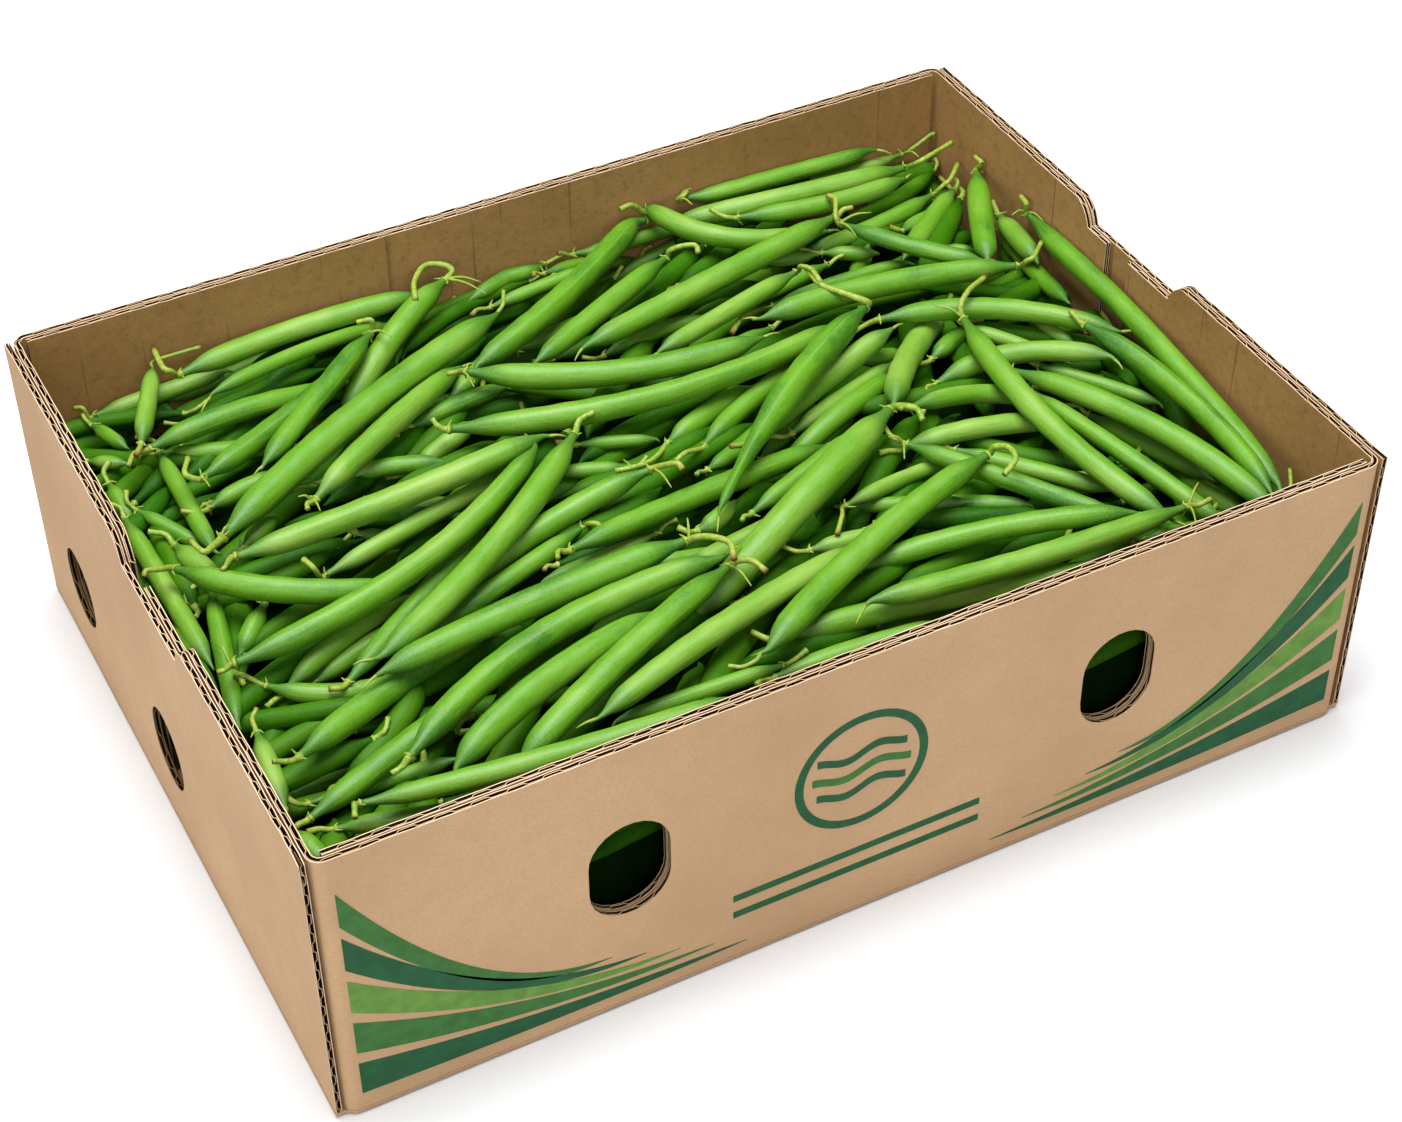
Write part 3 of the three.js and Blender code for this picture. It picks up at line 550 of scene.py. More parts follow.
def add_shoot(shape, start, end, radius, arch, tint, sides=6, count=8):
    """A thin shoot or sepal, thickest where it starts."""
    middle = (start + end) / 2 + np.array([0, 0, arch])
    curve = smooth_curve([start, middle, end], count)
    radii = radius * np.linspace(1, SHOOT_END, count)
    shape.tube(curve, radii, sides, STALK, lambda ring, angle: (ring, math.cos(angle), tint * TINT_SHIFT),
               lambda ring, angle: (ring / count, math.cos(angle), tint))


def add_stalk(shape, centres, radii, route, shoots, rng, fine=True):
    """The calyx that caps the neck, its small sepals, and the curly pedicel."""
    start = centres[0]
    back = centres[0] - centres[2]
    back /= np.linalg.norm(back)
    neck = radii[0]
    tint = rng.random()
    lift = draw(rng, *STALK_LIFT)
    if route:
        spots = [start + back * 1.6]
        for index, point in enumerate(route):
            rise = lift * math.sin((index + 1) / len(route) * STALK_ARCH)
            spots.append(spot(point, min(start[2] + rise, STALK_TOP)))
    else:
        side = np.cross(back, (0, 0, 1)) * (rng.random() - 0.5)
        reach = draw(rng, *STALK_REACH)
        spots = [start + back * 1.4, start + back * (1.4 + reach * 0.5) + (0, 0, lift * 0.3),
                 start + back * (1.2 + reach) + side * reach * 1.2 + (0, 0, lift * 0.5)]
        for place in spots:
            place[0] = clamp(place[0], INSIDE_X - STALK_MARGIN)
            place[1] = clamp(place[1], INSIDE_Y - STALK_MARGIN)
    rings, sides = STALK_FINE if fine else STALK_COARSE
    curve = smooth_curve([start - back * 0.5, *spots], rings)
    travelled = np.concatenate([[0], np.cumsum(np.linalg.norm(np.diff(curve, axis=0), axis=1))])
    end = draw(rng, *STALK_END)
    whole = travelled[-1]
    collar, shares = zip(*CALYX_PROFILE)
    radii = np.interp(travelled, [*collar, whole * 0.45 + 1.3, whole * 0.8 + 0.5, whole],
                      [*(neck * share for share in shares), (neck + end) / 2.3, end, end * 1.15])
    shape.tube(curve, radii, sides, STALK,
               lambda ring, angle: (travelled[ring], math.cos(angle), tint * TINT_SHIFT),
               lambda ring, angle: (travelled[ring] / travelled[-1], math.cos(angle), tint))
    if not fine:
        return
    for number in range(SEPALS):
        angle = TAU * (number + rng.random() * 0.6) / SEPALS
        side = np.cross(back, (0, 0, 1))
        side /= np.linalg.norm(side)
        out = math.cos(angle) * side + math.sin(angle) * np.cross(side, back)
        root = start + back * 0.3 + out * neck * 0.95
        tip = root + out * draw(rng, *SEPAL_OUT) + back * draw(rng, *SEPAL_BACK)
        add_shoot(shape, root, tip, SEPAL_RADIUS, 0, tint, count=5)
    for point in shoots:
        root = start + back * 1.3
        end = spot(point, min(root[2] + draw(rng, *SHOOT_LIFT), STALK_TOP), SHOOT_RADIUS)
        add_shoot(shape, root, end, SHOOT_RADIUS, SHOOT_ARCH, tint)


def add_beak(shape, centres, rng):
    """The thin dry end of a tip, bent a little to one side."""
    ahead = centres[-1] - centres[-4]
    ahead /= np.linalg.norm(ahead)
    end = centres[-1] + ahead * draw(rng, *BEAK_LENGTH)
    end[:2] += rng.gauss(0, BEAK["sideways"]) * np.array([-ahead[1], ahead[0]])
    end[0] = clamp(end[0], INSIDE_X - BEAK["margin"])
    end[1] = clamp(end[1], INSIDE_Y - BEAK["margin"])
    end[2] = max(end[2], centres[-1][2] - BEAK["drop"])
    add_shoot(shape, centres[-3], end, SHOOT_RADIUS, BEAK["arch"], rng.random(), count=6)


def add_routed_tip(shape, centres, radii, points):
    """A thin end that goes on past the tip, through points of the plan plane."""
    rings = ROUTED_TIP["rings"]
    route = [spot(point, centres[-1][2] + ROUTED_TIP["rise"]) for point in points]
    curve = smooth_curve([centres[-3], *route], rings)
    shape.tube(curve, np.linspace(radii[-3] * 1.1, ROUTED_TIP["end"], rings), ROUTED_TIP["sides"], STALK,
               lambda ring, angle: (ring, math.cos(angle), 9), lambda ring, angle: (ring / rings, 0, 0.4))


def build_top_beans(skin, stalk):
    for number, bean in enumerate(TOP_BEANS, 1):
        rng = random.Random(SEEDS["top"] + number)
        path = press_bean(bean, HEAP_TOP, 0)
        note_met(path)
        shape = Shape()
        centres, radii = add_pod(shape, path, "top", rng, LONG_TIPS.get(number))
        add_stalk(shape, centres, radii, TOP_ROUTES.get(number), TOP_SHOOTS.get(number, ()), rng)
        if number in TIP_ROUTES:
            add_routed_tip(shape, centres, radii, TIP_ROUTES[number])
        else:
            add_beak(shape, centres, rng)
        ride(shape.make(f"pod_{number:02d}", (skin, stalk)), "bean_skin", f"bean_{number:02d}")


# Layers of random beans below: highest middle line, count, length
FILLER_LAYERS = ((67, 90, 44), (64, 110, 52), (57, 110, 62))
FILLER_BITE = 3.4
FILLER_FLOOR = 30
FILLER_TRIES = 12
FILLER_SAMPLES = np.linspace(0.05, 0.95, 9)
FILLER_ANGLE = (0.35, 0.6)
FILLER_LENGTH = (0.8, 0.5)
FILLER_WIDTH = (8.2, 2)
FILLER_BOW = 2
GAP_SHARE = 0.06
# Cells along the far walls, where the walls themselves are met first
FAR_EDGE = 24

# Height of what is met first on the line of sight through each cell of the plan plane
met = np.zeros((rows, columns))


def note_met(path):
    """Marks a bean's outline on the plan plane."""
    for x, y, z in path["points"]:
        part = (PLAN_EYE[2] - PLAN_Z) / (PLAN_EYE[2] - z)
        plan = [eye + (value - eye) * part for eye, value in zip(PLAN_EYE, (x, y))]
        if abs(plan[0]) > INSIDE_X or abs(plan[1]) > INSIDE_Y:
            continue
        window, reach = footprint(*plan, path["radius"] * part)
        met[window] = np.where(np.isnan(reach), met[window], np.fmax(met[window], z))


def cover(bean):
    """How high the beans over a bean's line stand already, added up over its samples."""
    total = 0.0
    for t in FILLER_SAMPLES:
        x, y = plan_point(bean, t)
        column = int((clamp(x, INSIDE_X - 1) + INSIDE_X) / CELL)
        row = int((clamp(y, INSIDE_Y - 1) + INSIDE_Y) / CELL)
        total += met[row, column]
    return total


def filler_bean(long, rng):
    """Of some random places around the deepest gaps, the one that covers most of them."""
    shown = met[:rows - FAR_EDGE, :columns - FAR_EDGE]
    gaps = np.argwhere(shown < np.quantile(shown, GAP_SHARE) + 1)
    found = []
    for _ in range(FILLER_TRIES):
        row, column = gaps[rng.randrange(len(gaps))]
        found.append(random_bean(column * CELL - INSIDE_X, row * CELL - INSIDE_Y, long, rng))
    return min(found, key=cover)


def random_bean(x, y, long, rng):
    """A bean with its middle at x, y, either way round."""
    length = long * draw(rng, *FILLER_LENGTH)
    angle = rng.gauss(*FILLER_ANGLE)
    half_x, half_y = length / 2 * math.cos(angle), length / 2 * math.sin(angle)
    if rng.random() < 0.5:
        half_x, half_y = -half_x, -half_y
    bow = rng.gauss(0, FILLER_BOW)
    return x - half_x, y - half_y, x + half_x, y + half_y, bow, draw(rng, *FILLER_WIDTH)


def build_bed(skin, stalk, shade, dim, deep):
    """Two pieces for the bed: the beans read below the top ones, and random ones under them with
    those behind the air holes and the dark core. The random ones and those behind the holes wear the skin
    darkened as painted shade, and the core is painted deep shade."""
    skins = (skin, stalk, shade, dim, deep)
    shape = Shape()
    for number, bean in enumerate(LOW_BEANS, 1):
        rng = random.Random(SEEDS["low"] + number)
        path = press_bean(bean, HEAP_LOW, BEAN_GAP + LOW_OVERLAP)
        note_met(path)
        centres, radii = add_pod(shape, path, "low", rng)
        add_stalk(shape, centres, radii, LOW_ROUTES.get(number), (), rng)
    ride(shape.make("bean_pile", skins), "bean_skin", "bean_bed")
    shape = Shape()
    rng = random.Random(SEEDS["deep"])
    for cap, count, long in FILLER_LAYERS:
        for _ in range(count):
            path = press_bean(filler_bean(long, rng), cap, 0, FILLER_FLOOR, FILLER_BITE)
            if path is None:
                continue
            note_met(path)
            centres, radii = add_pod(shape, path, "deep", rng)
            add_stalk(shape, centres, radii, None, (), rng, fine=False)
    add_core(shape)
    for points in beans_behind_holes():
        rng = random.Random(int(points[0][0] * 10) + SEEDS["hole"])
        path = {"t": np.linspace(0, 1, len(points)), "points": np.array(points),
                "radius": BEHIND_HOLE["radius"]}
        add_pod(shape, path, "hole", rng)
    ride(shape.make("deep_beans", skins), "bean_skin", "bean_bed")


CORE_BLOCK = 10
CORE_LOW, CORE_HIGH = 12, 52
CORE_INSET = 3.5


def add_core(shape):
    """Painted deep shade under the beans that are modelled one by one: a dark core where only shade shows."""
    high = rows // CORE_BLOCK * CORE_BLOCK, columns // CORE_BLOCK * CORE_BLOCK
    blocks = underside[:high[0], :high[1]].reshape(high[0] // CORE_BLOCK, CORE_BLOCK, -1, CORE_BLOCK)
    lowest = np.clip(blocks.min(axis=(1, 3)) - 1, CORE_LOW, CORE_HIGH)
    lowest = np.minimum.reduce([np.roll(lowest, shift, axis) for axis in (0, 1) for shift in (-1, 0, 1)])
    count_y, count_x = lowest.shape
    xs = np.linspace(-INSIDE_X + CORE_INSET, INSIDE_X - CORE_INSET, count_x)
    ys = np.linspace(-INSIDE_Y + CORE_INSET, INSIDE_Y - CORE_INSET, count_y)
    base = len(shape.points)
    for level in (0, 1):
        for j, y in enumerate(ys):
            for i, x in enumerate(xs):
                shape.points.append(np.array([x, y, lowest[j, i] if level else BOARD + 2 * LAYER_GAP]))
                shape.grain.append((x, y, 0))
                shape.growth.append((0.5, 0, 0))
    block = count_x * count_y

    def at(level, i, j):
        return base + level * block + j * count_x + i

    def close(loop):
        shape.faces.append(loop)
        shape.slots.append(SHADE)

    for j in range(count_y - 1):
        for i in range(count_x - 1):
            close((at(1, i, j), at(1, i + 1, j), at(1, i + 1, j + 1), at(1, i, j + 1)))
            close((at(0, i, j), at(0, i, j + 1), at(0, i + 1, j + 1), at(0, i + 1, j)))
    rim = [(i, 0) for i in range(count_x)]
    rim += [(count_x - 1, j) for j in range(1, count_y)]
    rim += [(i, count_y - 1) for i in range(count_x - 2, -1, -1)]
    rim += [(0, j) for j in range(count_y - 2, 0, -1)]
    for (i, j), (k, m) in zip(rim, rim[1:] + rim[:1]):
        close((at(0, i, j), at(0, k, m), at(1, k, m), at(1, i, j)))


def beans_behind_holes():
    """Middle lines of beans lying along the walls across each air hole."""
    off = BEHIND_HOLE["radius"] + BEAN_GAP
    steps = np.linspace(-BEHIND_HOLE["half"], BEHIND_HOLE["half"], STATIONS + 1)
    found = []
    for hole, count, along_x in ((LONG_HOLE, BEHIND_LONG_HOLE, True), (END_HOLE, BEHIND_END_HOLE, False)):
        for side in (-1, 1):
            for along in hole["along"]:
                for index in range(count):
                    z = hole["z"] + BEHIND_HOLE["rise"] + (index - (count - 1) / 2) * BEHIND_HOLE["pitch"]
                    shift, tilt = HOLE_LAYS[index % 2]
                    depth = off + (count - 1 - index) * BEHIND_HOLE["deeper"]
                    inside = side * ((INSIDE_Y if along_x else INSIDE_X) - depth)
                    line = [(along + shift + step, z + step * tilt) for step in steps]
                    found.append([(at, inside, height) if along_x else (inside, at, height)
                                  for at, height in line])
    return found


# Corrugated board

# The wave faces are painted nearly black: painted shade inside the flutes
OUTER_FACE, INNER_FACE, CUT_EDGE, WAVE_FACE_PAINTED_SHADE, WAVE_EDGE, HOLE_EDGE_PAINTED_SHADE = 0, 1, 2, 3, 4, 5


def long_wall_line(off, flap_length, step):
    """Points in plan along a long wall and its two flaps, off in from the outer face."""
    x = LENGTH / 2 - BOARD - LAYER_GAP
    y = -DEPTH / 2
    turn = FOLD_RADIUS - off
    straight = flap_length - FOLD_RADIUS
    middle = 2 * (x - FOLD_RADIUS)
    points = []
    for s in np.arange(0, straight, step):
        points.append((-x + off, y + flap_length - s))
    for angle in np.linspace(math.pi, 1.5 * math.pi, FOLD_STEPS)[:-1]:
        points.append((-x + FOLD_RADIUS + turn * math.cos(angle), y + FOLD_RADIUS + turn * math.sin(angle)))
    for s in np.arange(0, middle, step):
        points.append((-x + FOLD_RADIUS + s, y + off))
    for angle in np.linspace(1.5 * math.pi, 2 * math.pi, FOLD_STEPS)[:-1]:
        points.append((x - FOLD_RADIUS + turn * math.cos(angle), y + FOLD_RADIUS + turn * math.sin(angle)))
    for s in np.arange(0, straight + step / 2, step):
        points.append((x - off, y + FOLD_RADIUS + s))
    return points


def straight_line(start, end, step):
    count = max(2, round(math.dist(start, end) / step) + 1)
    return [tuple(p) for p in np.linspace(start, end, count)]


class Board:
    """Closed sheets of paper, gathered into one mesh."""

    def __init__(self):
        self.points, self.faces, self.slots = [], [], []

    def sheet(self, line, half, levels, place, slots, roughen=0.0):
        """A sheet along a line of (u, v), half thick to each side, over levels of w; place(u, v, w)
        gives the point. slots are for its left face, its right face and its edges."""
        line = np.asarray(line, dtype=float)
        along = np.gradient(line, axis=0)
        along /= np.linalg.norm(along, axis=1)[:, None]
        normal = np.column_stack([-along[:, 1], along[:, 0]])
        base = len(self.points)
        count = len(line)
        drift = np.zeros(count)
        fray = np.zeros(count)
        if roughen:
            rng = random.Random(count + int(10 * line[0][1]))
            waves = [(rng.uniform(*DRIFT_SPEED), rng.random() * TAU, rng.uniform(*DRIFT_SIZE))
                     for _ in range(DRIFT_WAVES)]
            s = np.arange(count) * np.linalg.norm(line[1] - line[0])
            drift = sum(size * np.sin(speed * s + phase) for speed, phase, size in waves) * roughen / 3
            drift = np.clip(drift, -DRIFT_MOST, DRIFT_MOST)
            fray = sum(size * np.sin(FRAY_SPEED * speed * s + 2 * phase) for speed, phase, size in waves)
            fray = np.abs(fray)
        for level, w in enumerate(levels):
            bent = drift * max(0.0, 1 - (levels[-1] - w) / DRIFT_REACH) if roughen else drift
            top = w - (fray * roughen * FRAY_SHARE if level == len(levels) - 1 else 0)
            for side in (half, -half):
                for (u, v), (nu, nv), b, z in zip(line, normal, bent, np.broadcast_to(top, count)):
                    self.points.append(place(u + nu * (side + b), v + nv * (side + b), z))

        def at(level, side, index):
            return base + (level * 2 + side) * count + index

        last = len(levels) - 1
        for level in range(last):
            up = level + 1
            for index in range(count - 1):
                after = index + 1
                for side, slot in ((0, slots[0]), (1, slots[1])):
                    loop = (at(level, side, index), at(level, side, after),
                            at(up, side, after), at(up, side, index))
                    self.add(loop if side else loop[::-1], slot)
            for index in (0, count - 1):
                loop = at(level, 0, index), at(level, 1, index), at(up, 1, index), at(up, 0, index)
                self.add(loop if index == 0 else loop[::-1], slots[2])
        for index in range(count - 1):
            after = index + 1
            for level in (0, last):
                loop = at(level, 0, index), at(level, 0, after), at(level, 1, after), at(level, 1, index)
                self.add(loop if level == 0 else loop[::-1], slots[2])

    def add(self, loop, slot):
        self.faces.append(loop)
        self.slots.append(slot)

    def make(self, name, materials):
        return make_object(name, self.points, self.faces, self.slots, materials, smooth=False)


def wave_share(place, pitch):
    """From 0 at one paper to 1 at the other: long flats on the papers and steep crossings."""
    return 0.5 + 0.5 * math.tanh(WAVE_STEEPNESS * math.sin(TAU * place / pitch)) / math.tanh(WAVE_STEEPNESS)


def upright(u, v, w):
    return u, v, w


def on_edge(u, v, w):
    """For a sheet that runs up an end wall: its line is in z and x, and its levels are in y."""
    return v, w, u


def wall_board(board, line_at, pitch, faces, levels, margin=0.0):
    """One thickness of corrugated board: two papers and the waves between them. line_at(off, step)
    gives the line at a depth from the board's left face; the waves stop margin short of its ends."""
    skin = BOARD - PAPER / 2 - SKIN_INSET
    for off, slots in ((PAPER / 2, (faces[0], WAVE_FACE_PAINTED_SHADE, CUT_EDGE)), (skin, (WAVE_FACE_PAINTED_SHADE, faces[1], CUT_EDGE))):
        board.sheet(line_at(off, PAPER_STEP), PAPER / 2, levels, upright, slots, ROUGHNESS)
    low = line_at(PAPER + WAVE_PAPER / 2 + WAVE_CLEAR, WAVE_STEP)
    high = line_at(skin - PAPER / 2 - WAVE_PAPER / 2 - WAVE_CLEAR, WAVE_STEP)
    short = round(margin / WAVE_STEP)
    low, high = (line[short:len(line) - short] for line in (low, high))
    travelled = 0.0
    wave = []
    for index in range(min(len(low), len(high))):
        if index:
            travelled += math.dist(low[index], low[index - 1])
        share = wave_share(travelled, pitch)
        wave.append(tuple((1 - share) * a + share * b for a, b in zip(low[index], high[index])))
    board.sheet(wave, WAVE_PAPER / 2, [levels[0], levels[-1] - WAVE_SHORT], upright,
                (WAVE_FACE_PAINTED_SHADE, WAVE_FACE_PAINTED_SHADE, WAVE_EDGE))


def edge_waves(board, side, y_edge, inward):
    """The waves that show on an end wall's raw upright edge."""
    near = y_edge + inward * WAVE_SHORT
    far = y_edge + inward * EDGE_DEPTH
    middle = side * (LENGTH / 2 - (BOARD + SKIN_INSET) / 2)
    reach = BOARD / 2 - PAPER - SKIN_INSET / 2 - WAVE_PAPER / 2 - WAVE_CLEAR
    line = [(z, middle + reach * (2 * wave_share(z, END_PITCH) - 1))
            for z in np.arange(BOARD, HEIGHT - 2 * WAVE_SHORT, WAVE_STEP)]
    board.sheet(line, WAVE_PAPER / 2, sorted((near, far)), on_edge, (WAVE_FACE_PAINTED_SHADE, WAVE_FACE_PAINTED_SHADE, WAVE_EDGE))


def stadium(hole, steps=14):
    """An air hole's outline: upright, with round ends."""
    radius = hole["width"] / 2
    straight = (hole["height"] - hole["width"]) / 2
    points = []
    for start, end, middle in ((0, math.pi, straight), (math.pi, TAU, -straight)):
        for a in np.linspace(start, end, steps):
            points.append((radius * math.cos(a), middle + radius * math.sin(a) + hole["z"]))
    return points


def dip_outline(middle):
    """The dip in an end wall's rim, with swept ends."""
    half, floor_half, depth = DIP["half"], DIP["floor_half"], DIP["depth"]
    sweep = []
    for u in np.linspace(0, 1, DIP["steps"]):
        ends = zip((-half, 0), (-floor_half - 2, -1), (-floor_half, -depth))
        sweep.append(tuple((1 - u) ** 2 * p + 2 * u * (1 - u) * q + u * u * r for p, q, r in ends))
    outline = [(-half, DIP["over"])] + sweep + [(-u, w) for u, w in reversed(sweep)] + [(half, DIP["over"])]
    return [(u + middle, w + HEIGHT) for u, w in outline]


CUT_OUTSIDE = 3
CUT_BOARDS = 3


def cutter(outline, facing, near, far):
    """A closed prism across a wall."""
    points, faces = [], []
    for off in (near, far):
        for u, w in outline:
            points.append((u, off, w) if facing == "y" else (off, u, w))
    count = len(outline)
    faces.append(tuple(range(count)))
    faces.append(tuple(reversed(range(count, 2 * count))))
    for index in range(count):
        after = (index + 1) % count
        faces.append((after, index, index + count, after + count))
    if facing == "x":
        faces = [face[::-1] for face in faces]
    return make_object("cutter", points, faces, smooth=False)


def cut(target, cutters):
    """Takes the cutters out of a board, for good, and removes them."""
    for tool in cutters:
        change = target.modifiers.new("cut", "BOOLEAN")
        change.object = tool
        change.operation = "DIFFERENCE"
        change.solver = "EXACT"
    evaluated = target.evaluated_get(bpy.context.evaluated_depsgraph_get())
    mesh = bpy.data.meshes.new_from_object(evaluated)
    target.modifiers.clear()
    old = target.data
    target.data = mesh
    bpy.data.meshes.remove(old)
    for tool in cutters:
        mesh_data = tool.data
        bpy.data.objects.remove(tool)
        bpy.data.meshes.remove(mesh_data)


def hole_cutters(side, facings="xy"):
    """Cutters for a wall's holes and dip, from outside it to well inside both its boards."""
    tools = []
    across_y, across_x = (sorted((side * (wall / 2 + CUT_OUTSIDE), side * (wall / 2 - CUT_BOARDS * BOARD)))
                          for wall in (DEPTH, LENGTH))
    if "y" in facings:
        for x in LONG_HOLE["along"]:
            tools.append(cutter([(u + x, w) for u, w in stadium(LONG_HOLE)], "y", *across_y))
    if "x" in facings:
        for y in END_HOLE["along"]:
            tools.append(cutter([(u + y, w) for u, w in stadium(END_HOLE)], "x", *across_x))
        tools.append(cutter(dip_outline(DIP["left"] if side < 0 else DIP["right"]), "x", *across_x))
    return tools


WALL_LEVELS = (BOARD, 45, HEIGHT - 7, HEIGHT - 3, HEIGHT - 1.2, HEIGHT - 0.12)
BOTTOM_ROUND = 1.5
MARK_WITHIN = 0.3


def bottom_outline(inset):
    """The bottom's outline: the end walls' square corners outside the long walls' folds."""
    x, y = LENGTH / 2 - inset, DEPTH / 2 - inset
    fold_x = LENGTH / 2 - BOARD - LAYER_GAP - FOLD_RADIUS
    turn = FOLD_RADIUS - inset
    square_y = END_BOARD_DEPTH / 2 - inset
    stop = math.asin((square_y - (DEPTH / 2 - FOLD_RADIUS)) / turn)
    arc = [(fold_x + turn * math.cos(a), DEPTH / 2 - FOLD_RADIUS + turn * math.sin(a))
           for a in np.linspace(stop, math.pi / 2, 6)]
    corner = [(x, square_y)] + arc
    outline = []
    for flip_x, flip_y, turned in ((1, 1, False), (-1, 1, True), (-1, -1, False), (1, -1, True)):
        quarter = [(flip_x * px, flip_y * py) for px, py in corner]
        outline += quarter[::-1] if turned else quarter
    return outline


def add_bottom(board):
    """The bottom board with its rounded lower edge."""
    base = len(board.points)
    stops = [(0.0, BOARD)] + [(BOTTOM_ROUND * (1 - math.cos(a)), BOTTOM_ROUND * (1 - math.sin(a)))
                              for a in np.linspace(0, math.pi / 2, 5)]
    rings = [[(px, py, z) for px, py in bottom_outline(inset)] for inset, z in stops]
    count = len(rings[0])
    for ring in rings:
        board.points += ring
    for ring in range(len(rings) - 1):
        for index in range(count):
            after = (index + 1) % count
            a = base + ring * count
            board.add((a + index, a + count + index, a + count + after, a + after), OUTER_FACE)
    board.add(tuple(base + index for index in range(count)), INNER_FACE)
    last = base + (len(rings) - 1) * count
    board.add(tuple(last + index for index in reversed(range(count))), OUTER_FACE)


def build_tray(materials):
    """The long walls with their flaps, and the end walls outside them."""
    board = Board()
    flap_front = DEPTH / 2 + FLAP_END["front"]
    flap_back = DEPTH / 2 - FLAP_END["back"]
    for turn, flap in ((1, flap_front), (-1, flap_back)):
        def line_at(off, step, turn=turn, flap=flap):
            return [(turn * x, turn * y) for x, y in long_wall_line(off, flap, step)]
        wall_board(board, lambda off, step: line_at(BOARD - off, step), OUTER_PITCH, (INNER_FACE, OUTER_FACE),
                   WALL_LEVELS)
    half = END_BOARD_DEPTH / 2
    for side in (-1, 1):
        def end_line(off, step, side=side):
            x = side * (LENGTH / 2 - BOARD + off)
            return straight_line((x, -side * half), (x, side * half), step)
        wall_board(board, end_line, END_PITCH, (INNER_FACE, OUTER_FACE), WALL_LEVELS, margin=EDGE_DEPTH + 0.4)
        for y_edge, inward in ((-half, 1), (half, -1)):
            edge_waves(board, side, y_edge, inward)
    tray = board.make("tray_board", materials)
    cut(tray, hole_cutters(-1) + hole_cutters(1))
    mark_cut_faces(tray)
    return tray


def mark_cut_faces(target):
    """The walls of the holes and dips are raw board; those of the end walls' holes are painted darker, as
    painted shade.
    """
    for face in target.data.polygons:
        x, y, z = (value / MM for value in face.center)
        nx, ny, nz = face.normal
        # The end holes' edges take the dark hole edge paper: painted shade inside the holes
        for hole, along, across, slot in ((LONG_HOLE, x, ny, WAVE_EDGE), (END_HOLE, y, nx, HOLE_EDGE_PAINTED_SHADE)):
            if abs(across) > 0.5:
                continue
            for middle in hole["along"]:
                straight = (hole["height"] - hole["width"]) / 2
                over = max(0.0, abs(z - hole["z"]) - straight)
                if abs(math.hypot(along - middle, over) - hole["width"] / 2) < MARK_WITHIN:
                    face.material_index = slot
        in_dip = HEIGHT - DIP["depth"] - MARK_WITHIN < z < HEIGHT - 0.4
        if in_dip and (nz > 0.6 or (abs(ny) > 0.25 and nz > 0.05)):
            face.material_index = CUT_EDGE


def build_liner(name, side, materials):
    """The second board inside a long wall."""
    board = Board()

    def line_at(off, step):
        y = side * (INSIDE_Y + BOARD - off)
        half = LINER_LENGTH / 2
        return straight_line((side * half, y), (-side * half, y), step)

    levels = (BOARD + LAYER_GAP,) + WALL_LEVELS[1:]
    wall_board(board, lambda off, step: line_at(BOARD - off, step), INNER_PITCH, (INNER_FACE, OUTER_FACE),
               levels)
    liner = board.make(name, materials)
    cut(liner, hole_cutters(side, "y"))
    mark_cut_faces(liner)
    return liner


# Materials

def add(tree, kind, inputs=None, **settings):
    """A node with its settings and inputs; an input is a value or another node's output."""
    made = tree.nodes.new(kind)
    for name, value in settings.items():
        setattr(made, name, value)
    for name, value in (inputs or {}).items():
        if isinstance(value, bpy.types.NodeSocket):
            tree.links.new(value, made.inputs[name])
        else:
            made.inputs[name].default_value = value
    return made


def math_node(tree, operation, a, b=0.0):
    return add(tree, "ShaderNodeMath", {0: a, 1: b}, operation=operation).outputs[0]


def times(tree, a, b):
    return math_node(tree, "MULTIPLY", a, b)


def plus(tree, a, b):
    return math_node(tree, "ADD", a, b)


def step_between(tree, value, low, high):
    """0 below low, 1 above high, smooth between; falls instead where low is above high."""
    inputs = {"Value": value, "From Min": low, "From Max": high}
    return add(tree, "ShaderNodeMapRange", inputs, interpolation_type="SMOOTHSTEP").outputs[0]


def blend(tree, factor, a, b, mode="MIX"):
    made = add(tree, "ShaderNodeMix", {0: factor, 6: a, 7: b}, data_type="RGBA", blend_type=mode)
    return made.outputs[2]


def noise(tree, vector, scale, detail=3.0, roughness=0.5):
    inputs = {"Vector": vector, "Scale": scale, "Detail": detail, "Roughness": roughness}
    return add(tree, "ShaderNodeTexNoise", inputs).outputs[0]


def stretched_noise(tree, vector, factors, detail, roughness):
    """Noise with a scale of its own along each axis."""
    scaled = add(tree, "ShaderNodeVectorMath", {0: vector, 1: factors}, operation="MULTIPLY").outputs[0]
    return noise(tree, scaled, 1.0, detail, roughness)


def painted(tree, name):
    return add(tree, "ShaderNodeAttribute", attribute_name=name).outputs["Vector"]


def object_place(tree):
    return add(tree, "ShaderNodeTexCoord").outputs["Object"]


def toned(colour, share):
    return tuple(min(1, share * part) for part in colour[:3]) + (1,)


def new_material(name):
    material = bpy.data.materials.new(name)
    material.use_nodes = True
    tree = material.node_tree
    return material, tree, tree.nodes["Principled BSDF"]


def finish_shader(tree, shader, colour, roughness, specular, height=None, distance=0.0001, strength=0.5):
    tree.links.new(colour, shader.inputs["Base Color"])
    if isinstance(roughness, bpy.types.NodeSocket):
        tree.links.new(roughness, shader.inputs["Roughness"])
    else:
        shader.inputs["Roughness"].default_value = roughness
    shader.inputs["Specular IOR Level"].default_value = specular
    if height is not None:
        bump = add(tree, "ShaderNodeBump", {"Strength": strength, "Distance": distance, "Height": height})
        tree.links.new(bump.outputs[0], shader.inputs["Normal"])


